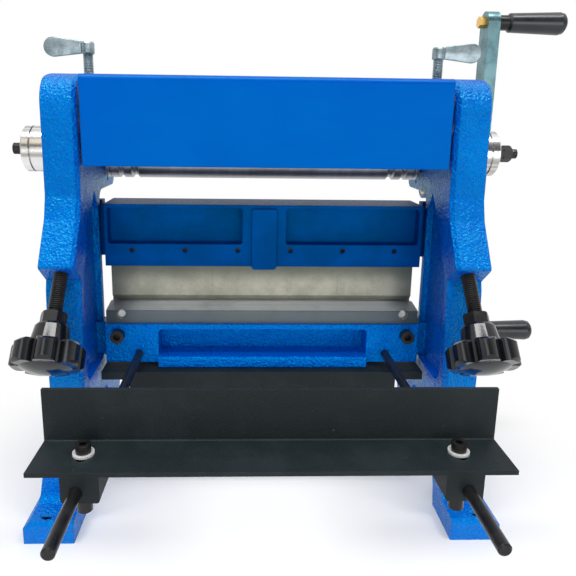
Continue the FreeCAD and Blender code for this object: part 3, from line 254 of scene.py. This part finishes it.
ENAMEL = {
    "cast_enamel": enamel(cast_enamel, 1.0),
    "bed_enamel": enamel(bed_enamel, 1.0),
    "sheet_enamel": enamel(sheet_enamel, 0.40),
    "ram_enamel": enamel(ram_enamel, 0.30),
}
print("enamels:", ", ".join(ENAMEL))

# %% [markdown]
# ## Blacks
#
# Four blacks that must not look alike. The gauge and the support bar have a
# matt, finely grained paint with a little dust in it. Screws and rods are
# blacked steel, with a dull sheen. Knobs are moulded and glossy, and the crank's
# grips are duller and a little blue. Both carry a thin clear coat whose weight
# varies a little with handling.


# %% Paint, oxide and moulding
def textured_black(g):
    grain = g.cells(800.0) * 0.5 + g.noise(1500.0, 2.0) * 0.5
    dust = g.noise(30.0, 4.0, 0.6)
    specks = g.noise(420.0, 2.0, 0.5, EVEN, (2.0, 7.0, 5.0))
    colour = g.mix(dust.rise(0.4, 0.75), (0.0060, 0.0105, 0.0130), (0.0105, 0.0170, 0.0200))
    return {
        "Base_Color": g.mix(specks.rise(0.74, 0.80, 0.0, 0.35), colour, (0.16, 0.19, 0.20)),
        "Roughness": grain.rise(0.2, 0.8, 0.46, 0.62),
        "Normal": g.bump(grain, 0.35, 0.4 * MM, 0.5 * MM),
    }


def oxide(g):
    bloom = g.noise(90.0, 4.0, 0.6)
    fine = g.noise(800.0, 2.0)
    return {
        "Base_Color": g.mix(bloom.rise(0.4, 0.7), (0.010, 0.010, 0.011), (0.028, 0.027, 0.027)),
        "Roughness": bloom.rise(0.3, 0.7, 0.26, 0.42),
        "Metallic": bloom.rise(0.3, 0.7, 0.35, 0.6),
        "Normal": g.bump(fine, 0.08, 0.3 * MM, 0.3 * MM),
    }


def moulded(g):
    gloss = g.noise(40.0, 3.0)
    skin = g.noise(500.0, 2.0)
    return {
        "Base_Color": g.mix(gloss.rise(0.35, 0.7), (0.003, 0.0035, 0.005), (0.007, 0.0075, 0.010)),
        "Roughness": gloss.rise(0.3, 0.7, 0.09, 0.15),
        "Coat_Weight": gloss.rise(0.3, 0.7, 0.10, 0.25),
        "Normal": g.bump(skin, 0.05, 0.3 * MM, 0.6 * MM),
    }


def grip_skin(g):
    sheen = g.noise(50.0, 3.0)
    return {
        "Base_Color": g.mix(sheen.rise(0.35, 0.7), (0.0040, 0.0065, 0.0090), (0.0080, 0.0115, 0.0150)),
        "Roughness": sheen.rise(0.3, 0.7, 0.28, 0.40),
        "Coat_Weight": sheen.rise(0.3, 0.7, 0.1, 0.25),
        "Normal": g.bump(g.noise(700.0, 2.0), 0.10, 0.3 * MM, 0.6 * MM),
    }


BLACKS = {
    "textured_black": material("textured_black", textured_black, Specular_IOR_Level=0.22),
    "oxide": material("oxide", oxide),
    "moulded": material("moulded", moulded, Specular_IOR_Level=0.38),
    "grip_skin": material("grip_skin", grip_skin),
}
print("blacks:", ", ".join(BLACKS))

# %% [markdown]
# ## Bare steel
#
# Ground steel has hair lines along the stroke of the grinder and patches of
# dried oil. Stretching a noise along one axis gives the lines: a small scale
# on that axis makes the pattern change slowly there. Rolls are ground round,
# so their lines run round the axis and the stretch is on the other two.
# The dies and the lower bars are blotched by place as well: their ends are
# painted dark next to the frames, the front of the bars is painted shade, and
# the tops of the dies carry the painted shade and reflection of the ram above.


# %% Ground steel
ALONG_X = (0.02, 1.0, 1.0)
ALONG_Z = (1.0, 1.0, 0.02)
ROUND_X = (1.0, 0.02, 0.02)


def ground(stretch, tint, stain):
    def recipe(g):
        lines = g.noise(160.0, 4.0, 0.7, stretch)
        hair = g.noise(900.0, 2.0, 0.5, stretch)
        oil = g.noise(24.0, 4.0, 0.65)
        spots = g.noise(170.0, 3.0, 0.7, EVEN, (3.0, 1.0, 2.0))
        colour = g.mix(lines.rise(0.35, 0.7), tint, [min(1.0, c * 1.18) for c in tint])
        colour = g.mix(oil.rise(0.45, 0.72, 0.0, 0.55), colour, stain)
        colour = g.mix(spots.rise(0.66, 0.78, 0.0, 0.5), colour, [c * 0.4 for c in stain])
        return {
            "Base_Color": colour,
            "Roughness": oil.rise(0.3, 0.7, 0.42, 0.30) + lines.rise(0.3, 0.7, 0.0, 0.08),
            "Metallic": oil.rise(0.4, 0.8, 1.0, 0.85),
            "Normal": g.bump(lines * 0.5 + hair * 0.5, 0.08, 0.2 * MM, 0.3 * MM),
        }

    return recipe


def die_steel(g):
    """Hardened segments: a warm grey mottle, dark green near the top as painted shade and reflection of
    the ram above, and dark at the ends as painted reflection of the frames.
    """
    x, y, z = g.xyz()
    mottle = g.noise(34.0, 4.0, 0.65)
    grain = g.noise(420.0, 3.0, 0.6)
    colour = g.mix(mottle.rise(0.35, 0.68), (0.52, 0.51, 0.42), (0.38, 0.375, 0.30))
    colour = g.mix(grain.rise(0.60, 0.75, 0.0, 0.45), colour, (0.13, 0.125, 0.10))
    # painted shade and reflection of the ram: darker green towards the top of the dies
    colour = g.mix(z.rise(0.203, 0.224, 0.0, 0.85), colour, (0.065, 0.085, 0.065))
    return {
        # painted reflection of the frames: dark at the ends
        "Base_Color": g.mix(x.size().rise(0.128, 0.150, 0.0, 0.65), colour, (0.10, 0.12, 0.11)),
        "Roughness": mottle.rise(0.3, 0.7, 0.36, 0.50),
        "Metallic": grain.rise(0.3, 0.8, 0.50, 0.38),
        "Normal": g.bump(grain, 0.10, 0.2 * MM, 0.25 * MM),
    }


def bar_steel(g):
    """The lower bars: light steel, with the front face painted dark as shade and the ends painted dark
    next to the frames.
    """
    x, y, z = g.xyz()
    lines = g.noise(160.0, 4.0, 0.7, ALONG_X)
    oil = g.noise(24.0, 4.0, 0.65)
    colour = g.mix(lines.rise(0.35, 0.7), (0.80, 0.84, 0.82), (0.92, 0.94, 0.92))
    colour = g.mix(oil.rise(0.45, 0.72, 0.0, 0.45), colour, (0.44, 0.48, 0.47))
    # painted shade: the front face is painted a dark blue-grey
    front = y.rise(-2.6 * MM, -2.0 * MM, 0.88, 0.0)
    colour = g.mix(front, colour, (0.028, 0.060, 0.078))
    # painted dark towards the ends, next to the frames; the oil noise only ruffles the border
    ends = (x.size() + oil * 0.02).rise(0.128, 0.160, 0.0, 0.80)
    return {
        "Base_Color": g.mix(ends, colour, (0.06, 0.08, 0.085)),
        "Roughness": oil.rise(0.3, 0.7, 0.48, 0.38) + lines.rise(0.3, 0.7, 0.0, 0.08),
        "Metallic": oil.rise(0.4, 0.8, 0.45, 0.35),
        "Normal": g.bump(lines, 0.08, 0.2 * MM, 0.3 * MM),
    }


STEELS = {
    "roll_steel": material("roll_steel", ground(ROUND_X, (0.44, 0.45, 0.46), (0.24, 0.24, 0.23))),
    "die_steel": material("die_steel", die_steel),
    "bar_steel": material("bar_steel", bar_steel),
    "blade_steel": material("blade_steel", ground(ALONG_X, (0.42, 0.42, 0.41), (0.22, 0.21, 0.19))),
}
print("steels:", ", ".join(STEELS))

# %% [markdown]
# ## Turned, plated and greased metal
#
# The two drive discs come straight off the lathe: fine rings about their axis.
# The rings are a sine of the distance from that axis. The light, dark and brown
# stripes across the discs are painted reflections. Zinc plate is duller and
# a little blue, gears carry brown grease in their teeth, and brass and bronze
# have a thin tarnish.

# %% Metals with a history
DRIVE_Y = -25.0           # the drive shafts' axis, in millimetres
DRIVE_Z = 341.5


def turned_steel(g):
    x, y, z = g.xyz()
    across = y - DRIVE_Y * MM
    up = z - DRIVE_Z * MM
    radius = (across * across + up * up).root()
    rings = (radius * 9000.0 + x * 9000.0).sine()
    # painted reflection: light, dark and brown stripes that stay the same along the axis, as a polished
    # disc mirrors its surroundings
    painted_reflection_bands = g.noise(95.0, 2.0, 0.6, (0.03, 1.0, 1.0))
    colour = g.mix(painted_reflection_bands.rise(0.42, 0.60), (0.80, 0.80, 0.80), (0.42, 0.41, 0.39))
    return {
        "Base_Color": g.mix(painted_reflection_bands.rise(0.56, 0.70, 0.0, 0.6), colour, (0.72, 0.58, 0.36)),
        "Roughness": painted_reflection_bands.rise(0.3, 0.7, 0.14, 0.26),
        "Metallic": g.noise(60.0).rise(0.3, 0.7, 0.96, 1.0),
        "Normal": g.bump(rings, 0.10, 0.2 * MM, 0.4 * MM),
    }


def zinc(light, dull, stretch, low, high):
    def recipe(g):
        lines = g.noise(140.0, 4.0, 0.6, stretch)
        haze = g.noise(75.0, 4.0, 0.65)
        specks = g.noise(380.0, 2.0)
        colour = g.mix(haze.rise(0.38, 0.66), light, dull)
        return {
            "Base_Color": g.mix(specks.rise(0.68, 0.78, 0.0, 0.35), colour, (0.34, 0.24, 0.15)),
            "Roughness": lines.rise(0.3, 0.7, low, high),
            "Metallic": haze.rise(0.3, 0.7, 0.95, 0.8),
            "Normal": g.bump(lines, 0.10, 0.2 * MM, 0.4 * MM),
        }

    return recipe


def bright_plate(g):
    cloud = g.noise(120.0, 3.0)
    return {
        "Base_Color": g.mix(cloud.rise(0.35, 0.7), (0.80, 0.80, 0.80), (0.66, 0.66, 0.65)),
        "Roughness": cloud.rise(0.3, 0.7, 0.30, 0.42),
        "Metallic": cloud.rise(0.3, 0.7, 0.35, 0.5),
        "Normal": g.bump(g.noise(500.0, 2.0), 0.08, 0.2 * MM, 0.3 * MM),
    }


def greased(g):
    grease = g.noise(70.0, 4.0, 0.6)
    colour = g.mix(grease.rise(0.45, 0.65), (0.30, 0.29, 0.28), (0.10, 0.075, 0.045))
    return {
        "Base_Color": colour,
        "Roughness": grease.rise(0.4, 0.7, 0.42, 0.22),
        "Metallic": grease.rise(0.4, 0.7, 0.95, 0.6),
        "Normal": g.bump(g.noise(500.0, 2.0), 0.12, 0.3 * MM, 0.3 * MM),
    }


def tarnished(light, dark):
    def recipe(g):
        tarnish = g.noise(110.0, 4.0, 0.6)
        return {
            "Base_Color": g.mix(tarnish.rise(0.45, 0.75), light, dark),
            "Roughness": tarnish.rise(0.3, 0.7, 0.22, 0.38),
            "Metallic": tarnish.rise(0.3, 0.8, 1.0, 0.9),
            "Normal": g.bump(g.noise(700.0, 2.0), 0.08, 0.2 * MM, 0.3 * MM),
        }

    return recipe


ZINC = zinc((0.62, 0.64, 0.66), (0.42, 0.45, 0.47), ALONG_X, 0.26, 0.40)
LEVER_ZINC = zinc((0.34, 0.41, 0.44), (0.17, 0.23, 0.25), ALONG_X, 0.30, 0.46)
ARM_ZINC = zinc((0.15, 0.27, 0.30), (0.085, 0.165, 0.185), ALONG_Z, 0.30, 0.44)
METALS = {
    "turned_steel": material("turned_steel", turned_steel),
    "zinc": material("zinc", ZINC),
    "lever_zinc": material("lever_zinc", LEVER_ZINC),
    "arm_zinc": material("arm_zinc", ARM_ZINC),
    "bright_plate": material("bright_plate", bright_plate),
    "greased": material("greased", greased),
    "brass": material("brass", tarnished((0.80, 0.50, 0.14), (0.42, 0.24, 0.07))),
    "bronze": material("bronze", tarnished((0.50, 0.32, 0.14), (0.24, 0.15, 0.07))),
}
print("metals:", ", ".join(METALS))

# %% [markdown]
# ## Each solid gets its finish
#
# A solid keeps its mesh. Its old material slots are cleared and one finish goes
# in. The list below is also a check: a solid that is missing from it would be
# printed as bare.

# %% Dress the solids
FINISHES = {**ENAMEL, **BLACKS, **STEELS, **METALS}
WEARS = {
    "cast_enamel": ["right_side_frame", "left_side_frame"],
    "bed_enamel": ["bed"],
    "ram_enamel": ["ram", "ram_hangers"],
    "sheet_enamel": ["top_cover"],
    "textured_black": ["gauge_angle", "gauge_blocks", "support_bar"],
    "oxide": [
        "bracket_screws", "cover_screws", "adjusting_screw_right", "adjusting_screw_left",
        "lock_nut_right", "lock_nut_left", "grip_pins", "drive_nut", "hanger_screws",
        "die_clamp_screws", "upper_blade_screws", "bed_bolts", "bed_screws", "gauge_rods",
        "gauge_screws", "lock_screw_right", "lock_screw_left",
    ],
    "roll_steel": ["lower_pinch_roll", "upper_pinch_roll", "bending_roll", "bending_axle", "crank_shaft"],
    "die_steel": ["finger_die_102", "finger_dies_76", "finger_die_51"],
    "bar_steel": ["lower_die_left", "lower_die_right"],
    "blade_steel": ["upper_shear_blade", "lower_shear_blade"],
    "turned_steel": ["ram_crank_right", "ram_crank_left"],
    "zinc": ["cover_brackets", "crank_bolt"],
    "lever_zinc": ["thumb_screw_right", "thumb_screw_left"],
    "arm_zinc": ["crank_arm"],
    "bright_plate": ["gauge_washers"],
    "greased": [
        "driven_gear", "crank_pinion", "lower_pinch_gear", "upper_pinch_gear",
        "upper_block_right", "upper_block_left", "bending_blocks",
    ],
    "brass": ["grip_nuts"],
    "bronze": ["roll_bushes"],
    "moulded": ["star_knob_right", "star_knob_left"],
    "grip_skin": ["grip_upper", "grip_lower"],
}
for finish, names in WEARS.items():
    for name in names:
        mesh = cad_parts[name].data
        mesh.materials.clear()
        mesh.materials.append(FINISHES[finish])
dressed = {name for names in WEARS.values() for name in names}
print("bare:", sorted(set(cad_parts) - dressed))

# %% [markdown]
# ## Putting a new piece on its body
#
# A finished piece's object stays at the origin, so its place is in its mesh.
# `on_body` turns a bmesh into such an object: it merges doubles, points the
# faces outwards, moves the points to their place and lets the piece ride.


# %% From bmesh to a riding piece
MERGE = 0.002 * MM
SHARP = math.radians(32.0)


def on_body(name, shape, place, finish, body):
    bmesh.ops.remove_doubles(shape, verts=shape.verts, dist=MERGE)
    bmesh.ops.transform(shape, matrix=place, verts=shape.verts)
    bmesh.ops.recalc_face_normals(shape, faces=shape.faces)
    mesh = bpy.data.meshes.new(name)
    shape.to_mesh(mesh)
    closed = all(edge.is_manifold for edge in shape.edges)
    print(name, len(shape.faces), "faces, closed:", closed)
    shape.free()
    mesh.shade_smooth()
    mesh.set_sharp_from_angle(angle=SHARP)
    mesh.materials.append(FINISHES[finish])
    piece = bpy.data.objects.new(name, mesh)
    bpy.context.collection.objects.link(piece)
    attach(piece, body)
    return piece


def facing(point, along):
    """Place that turns +Z to along and puts the origin at point, in millimetres."""
    turn = Vector(along).to_track_quat("Z", "Y").to_matrix().to_4x4()
    return Matrix.Translation(Vector(point) * MM) @ turn


def profile_line(shape, rows):
    """Adds a line through points of (radius, height) and gives its parts."""
    points = [shape.verts.new((radius * MM, 0.0, height * MM)) for radius, height in rows]
    return points + [shape.edges.new(pair) for pair in zip(points, points[1:])]


def turn_profile(shape, rows, steps=48):
    """Adds the solid that a profile of (radius, height) makes when spun about Z."""
    line = profile_line(shape, rows)
    bmesh.ops.spin(shape, geom=line, axis=(0, 0, 1), angle=math.tau, steps=steps, use_merge=True)


def trim(shape, level, side):
    """Cuts off what lies past level on Z, on the side of the sign, and closes the cut."""
    cut = bmesh.ops.bisect_plane(
        shape, geom=shape.verts[:] + shape.edges[:] + shape.faces[:],
        plane_co=(0, 0, level * MM), plane_no=(0, 0, side), clear_outer=True,
    )
    rim = [part for part in cut["geom_cut"] if isinstance(part, bmesh.types.BMEdge)]
    bmesh.ops.holes_fill(shape, edges=rim, sides=0)


# %% [markdown]
# ## Real threads
#
# A thread is one tooth carried up a helix. Spin does exactly that when each
# step also moves along the axis: a tooth as tall as the pitch meets itself
# after every turn. One turn is spun and then copied up the rod, which is much
# quicker than spinning them all. Two cuts square to the axis give the rod its
# ends, and filling the cuts closes it. Where a thread stands for a plain solid
# screw, its crest is as wide as that screw.


# %% A threaded rod
def thread(shape, low, high, crest, root, pitch, steps=20):
    """Adds a screw thread about Z from low to high, closed at both ends."""
    turns = math.ceil((high - low) / pitch) + 3
    start = low - 1.5 * pitch
    tooth = [(root, 0.0), (crest, 0.42), (crest, 0.58), (root, 1.0)]
    line = profile_line(shape, [(radius, start + part * pitch) for radius, part in tooth])
    bmesh.ops.spin(
        shape, geom=line, axis=(0, 0, 1), dvec=(0, 0, pitch * MM / steps),
        angle=math.tau, steps=steps,
    )
    turn = shape.verts[:] + shape.edges[:] + shape.faces[:]
    for number in range(1, turns):
        copied = bmesh.ops.duplicate(shape, geom=turn)["geom"]
        points = [part for part in copied if isinstance(part, bmesh.types.BMVert)]
        bmesh.ops.translate(shape, verts=points, vec=(0, 0, number * pitch * MM))
    bmesh.ops.remove_doubles(shape, verts=shape.verts, dist=MERGE)
    trim(shape, low, -1)
    trim(shape, high, 1)


# %% [markdown]
# The two inclined screws push the bending roll's carriage up its slots. Each is
# a plain M12 thread with a short turned end that sits in the bearing block. All
# places on it are measured down the slope from the bending roll's axis.

# %% The inclined adjusting screws
HANDS = ((1, "right"), (-1, "left"))
SLOPE = math.radians(51.0)
UP_SCREW = (0.0, math.cos(SLOPE), math.sin(SLOPE))
SCREW_X = 173.0
BEND_Y = 16.0             # the bending roll's axis at rest
BEND_Z = 348.2
SCREW_REACH = 223.83      # from that axis down to the free end
SCREW_LEN = 213.53        # from the free end to the shoulder under the bearing block
SPIGOT = [(0.0, -2.0), (4.0, -2.0), (4.0, 2.5), (0.0, 2.5)]


def down_screw(side, reach):
    """The point on one screw's axis that lies this far below the bending roll."""
    return (side * SCREW_X, BEND_Y - reach * UP_SCREW[1], BEND_Z - reach * UP_SCREW[2])


for side, hand in HANDS:
    rod = bmesh.new()
    thread(rod, 0.0, SCREW_LEN, 6.0, 5.05, 1.75)
    turn_profile(rod, [(radius, SCREW_LEN + height) for radius, height in SPIGOT])
    place = facing(down_screw(side, SCREW_REACH), UP_SCREW)
    piece = on_body("adjusting_thread_" + hand, rod, place, "oxide", "adjuster_" + hand)
    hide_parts("adjusting_screw_" + hand)

# %% [markdown]
# A black stud stands in the middle of each polished disc. The solids have it
# plain, so a shallow thread is laid over it. The right one shows only past its
# nuts, so it is short and thinner.

# %% The black studs on the drive discs
for side, hand, foot, length, crest, root in (
    (-1, "left", -210.0, 11.98, 5.05, 4.73),
    (1, "right", 219.75, 5.45, 4.30, 4.02),
):
    stud = bmesh.new()
    thread(stud, 0.0, length, crest, root, 1.25, 24)
    place = facing((foot, DRIVE_Y, DRIVE_Z), (side, 0.0, 0.0))
    on_body("stud_thread_" + hand, stud, place, "oxide", "drive_" + hand)

# %% [markdown]
# ## Thumb levers
#
# Each pinch-roll screw has a round head with one flat, tear-shaped lever. The
# lever is the skin round a small disc at the head and a large one at the tip:
# a convex hull gives that tapering outline at once, and a bevel rounds its rim.


# %% The outline of a lever
LEVER_REACH = 33.0
LEVER_TIP = 9.4
LEVER_NECK_X = 3.0
LEVER_NECK = 5.6
LEVER_THICK = 4.2
LEVER_Z = 71.4            # above the seat of the screw


def lever_disc(shape, x, radius):
    made = bmesh.ops.create_cone(
        shape, cap_ends=True, segments=48,
        radius1=radius * MM, radius2=radius * MM, depth=LEVER_THICK * MM,
        matrix=Matrix.Translation((x * MM, 0.0, 0.0)) @ Matrix.Rotation(math.pi / 2, 4, "X"),
    )
    return made["verts"]


def lever_plate(shape):
    discs = lever_disc(shape, LEVER_REACH, LEVER_TIP) + lever_disc(shape, LEVER_NECK_X, LEVER_NECK)
    skin = bmesh.ops.convex_hull(shape, input=discs)
    spare = skin["geom_interior"] + skin["geom_unused"]
    spare = [part for part in spare if isinstance(part, bmesh.types.BMVert)]
    bmesh.ops.delete(shape, geom=spare, context="VERTS")
    bmesh.ops.dissolve_limit(
        shape, angle_limit=math.radians(1.0), verts=shape.verts, edges=shape.edges,
    )
    flat = math.radians(60.0)
    rims = [edge for edge in shape.edges if edge.is_manifold and edge.calc_face_angle() > flat]
    bmesh.ops.bevel(
        shape, geom=rims, offset=0.9 * MM, segments=3, profile=0.5, affect="EDGES", material=-1,
    )
    bmesh.ops.translate(shape, verts=shape.verts, vec=(0.0, 0.0, LEVER_Z * MM))


# %% Screw, head and lever
THUMB_Y = 50.0            # the pinch rolls' axis
THUMB_SEAT_Z = 364.9      # where the screw's foot stands in the block
FOOT = [(0.0, 0.0), (3.5, 0.0), (3.5, 3.6), (0.0, 3.6)]
HEAD = [(0.0, 65.0), (5.6, 65.0), (6.4, 66.0), (6.4, 75.0), (5.4, 76.4), (0.0, 76.6)]
for side, hand in HANDS:
    lever = bmesh.new()
    lever_plate(lever)
    body = bmesh.new()
    thread(body, 3.3, 65.5, 5.0, 4.15, 1.5)
    turn_profile(body, FOOT)
    turn_profile(body, HEAD)
    joined = bpy.data.meshes.new("lever_join")
    lever.to_mesh(joined)
    lever.free()
    body.from_mesh(joined)
    bpy.data.meshes.remove(joined)
    outwards = Matrix.Rotation(0.0 if side > 0 else math.pi, 4, "Z")
    place = Matrix.Translation(Vector((side * SCREW_X, THUMB_Y, THUMB_SEAT_Z)) * MM) @ outwards
    piece = on_body("thumb_lever_" + hand, body, place, "lever_zinc", "thumb_" + hand)
    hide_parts("thumb_screw_" + hand)

# %% [markdown]
# ## The screw in the end of the crank spindle
#
# The arm is held on its square by a screw. The solid is a socket screw on a
# washer, which stands out too far beside the arm. A low turned button takes its
# place: one profile spun about the axis gives the shank and the head together.

# %% Crank end screw
BUTTON_PLACE = (238.9, 75.59, 303.49)     # 0.1 mm inside the arm's outer face
SHANK = [(0.0, -18.0), (2.95, -18.0), (2.95, 0.0)]
BUTTON = [(8.2, 0.0), (8.2, 0.5), (7.4, 1.0), (0.0, 1.0)]
button = bmesh.new()
turn_profile(button, SHANK + BUTTON)
place = facing(BUTTON_PLACE, (1.0, 0.0, 0.0))
piece = on_body("crank_end_screw", button, place, "oxide", "crank")
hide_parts("crank_bolt")

# %% [markdown]
# ## Knob faces and pins
#
# The star knobs are moulded with a closed, softly domed face, which is a thin
# slice off a large ball: a bisection takes the slice and closes its back. In
# each through hole of the lower die stands a plated pin, turned from a profile.
# It is thinner than its hole and off the hole's middle, which leaves a dark
# crescent beside it.

# %% Domed faces
FACE_REACH = 219.83       # from the bending roll's axis down to the knob's end face
BALL = 44.1
SLICE = 39.0              # the ball's part above this height is kept
SUNK = 0.3                # how far the slice's back lies inside the knob
down_slope = tuple(-part for part in UP_SCREW)
for side, hand in HANDS:
    dome = bmesh.new()
    bmesh.ops.create_uvsphere(dome, u_segments=48, v_segments=72, radius=BALL * MM)
    trim(dome, SLICE, -1)
    bmesh.ops.translate(dome, verts=dome.verts, vec=(0, 0, -(SLICE + SUNK) * MM))
    place = facing(down_screw(side, FACE_REACH), down_slope)
    on_body("star_face_" + hand, dome, place, "moulded", "adjuster_" + hand)

# %% Dowel pins
PIN_X = 139.2
PIN_SHIFT = -0.2          # each pin stands this far off its hole's middle
PIN_Y = 2.2
PIN_Z = 180.7
PIN = [(0.0, -9.0), (4.3, -9.0), (4.3, 0.7), (3.6, 1.4), (0.0, 1.4)]
for side, hand in HANDS:
    pin = bmesh.new()
    turn_profile(pin, PIN, 40)
    place = facing((side * PIN_X + PIN_SHIFT, PIN_Y, PIN_Z), (0.0, -1.0, 0.0))
    on_body("dowel_" + hand, pin, place, "bright_plate", "frame")

# %% [markdown]
# ## Floor, light and camera
#
# The machine stands on a pale floor that keeps its shadow. Further out the
# floor fades into plain white, so there is no horizon: a Mix Shader goes from
# paint to a white glow with the distance from the machine, for the rays that
# see it, and its light on the machine stays that of painted board.

# %% Floor
FADE_START = 0.20
FADE_END = 0.42
WHITE = (1.0, 1.0, 1.0)


def mirrored_rays(g):
    """1 on the rays that show what is mirrored, or seen through glass."""
    shiny = g.node("ShaderNodeLightPath", out="Is Glossy Ray")
    return shiny.larger(g.node("ShaderNodeLightPath", out="Is Transmission Ray"))


def stage_floor():
    board = bmesh.new()
    bmesh.ops.create_grid(board, x_segments=1, y_segments=1, size=6.0)
    mesh = bpy.data.meshes.new("floor")
    board.to_mesh(mesh)
    board.free()
    floor = bpy.data.objects.new("floor", mesh)
    bpy.context.collection.objects.link(floor)
    pale = bpy.data.materials.new("floor_board")
    pale.use_nodes = True
    pale.node_tree.nodes.clear()
    g = Graph(pale.node_tree)
    x, y, z = g.xyz()
    away = (x * x + y * y).root().rise(FADE_START, FADE_END)
    tone = g.mix(g.noise(3.0), (0.88, 0.88, 0.88), (0.90, 0.90, 0.90))
    board_paint = g.node("ShaderNodeBsdfPrincipled", {}, {"Base Color": tone, "Roughness": 0.8})
    glow = g.node("ShaderNodeEmission", {}, {"Color": WHITE, "Strength": 1.0})
    seen = mirrored_rays(g).larger(g.node("ShaderNodeLightPath", out="Is Camera Ray"))
    both = g.node("ShaderNodeMixShader", {}, {0: away * seen, 1: board_paint, 2: glow})
    g.node("ShaderNodeOutputMaterial", {}, {"Surface": both})
    mesh.materials.append(pale)


# %% [markdown]
# The world is white to the eye. In reflections it shows as a bright studio with
# a dark side in front of the machine, and as light it is only a soft fill.
# Three large lamps do the rest: one overhead, which catches the tops and the
# sloping faces, and two in front, the stronger one low for the bed and the legs.

# %% World
FILL = 0.42
DARK_SIDE = 0.91          # how much of the studio's light is missing in front


def background(g, strength):
    return g.node("ShaderNodeBackground", {}, {"Color": WHITE, "Strength": strength})


def studio_world():
    world = bpy.data.worlds.new("studio")
    bpy.context.scene.world = world
    world.use_nodes = True
    world.node_tree.nodes.clear()
    g = Graph(world.node_tree)
    way = g.node("ShaderNodeTexCoord", out="Generated")
    parts = g.node("ShaderNodeSeparateXYZ", {}, {0: way}).out.node.outputs
    front = Sock(g, parts[1]).rise(-0.15, -0.75, 0.0, 1.0)
    mirrored = background(g, 1.0 - front * DARK_SIDE)
    eye = g.node("ShaderNodeLightPath", out="Is Camera Ray")
    shades = {0: mirrored_rays(g), 1: background(g, FILL), 2: mirrored}
    both = g.node("ShaderNodeMixShader", {}, shades)
    both = g.node("ShaderNodeMixShader", {}, {0: eye, 1: both, 2: background(g, 1.0)})
    g.node("ShaderNodeOutputWorld", {}, {"Surface": both})


# %% Lamps
def lamp(name, place, aim, size, watts):
    data = bpy.data.lights.new(name, "AREA")
    data.shape = "RECTANGLE"
    data.size = size[0]
    data.size_y = size[1]
    data.energy = watts
    made = bpy.data.objects.new(name, data)
    bpy.context.collection.objects.link(made)
    made.location = place
    made.rotation_euler = (Vector(aim) - Vector(place)).to_track_quat("-Z", "Y").to_euler()
    print(name, watts, "W")


stage_floor()
studio_world()
lamp("overhead", (0.0, -0.40, 1.9), (0.0, -0.39, 0.0), (2.0, 0.4), 33.0)
lamp("front_high", (-0.5, -1.3, 1.35), (0.0, 0.0, 0.25), (1.0, 0.8), 5.0)
lamp("front_low", (0.3, -1.6, 0.32), (0.0, 0.0, 0.15), (2.4, 0.7), 14.0)

# %% [markdown]
# The camera stands at the height of the cover, a little left of the middle,
# and looks slightly down on the gauge. Its axes come from three small turns.
# The lens and the two shifts are worked out from pixels of the square picture.

# %% Camera
EYE = (-20.0, -543.9, 364.5)
YAW, PITCH, ROLL = 0.0310, 0.2113, 0.0126
PICTURE = 576.0           # width and height, in pixels
MIDDLE = PICTURE / 2
FOCAL = 574.7             # focal length, in pixels
AXIS_X = 260.8            # the pixel that the lens looks at
AXIS_Y = 248.0
SENSOR = 36.0


def stand_camera():
    right = Vector((math.cos(YAW), -math.sin(YAW), 0.0))
    level = Vector((math.sin(YAW), math.cos(YAW), 0.0))
    ahead = level * math.cos(PITCH) - Vector((0.0, 0.0, math.sin(PITCH)))
    above = right.cross(ahead)
    side = right * math.cos(ROLL) + above * math.sin(ROLL)
    top = above * math.cos(ROLL) - right * math.sin(ROLL)
    data = bpy.data.cameras.new("camera")
    data.sensor_width = SENSOR
    data.lens = FOCAL / PICTURE * SENSOR
    data.shift_x = (MIDDLE - AXIS_X) / PICTURE
    data.shift_y = -(MIDDLE - AXIS_Y) / PICTURE
    data.clip_start = 0.02
    camera = bpy.data.objects.new("camera", data)
    bpy.context.collection.objects.link(camera)
    basis = Matrix((side, top, -ahead)).transposed().to_4x4()
    camera.matrix_world = Matrix.Translation(Vector(EYE) * MM) @ basis
    bpy.context.scene.camera = camera
    print("camera lens", round(data.lens, 2), "mm")


stand_camera()
bpy.context.scene.view_settings.view_transform = "Standard"
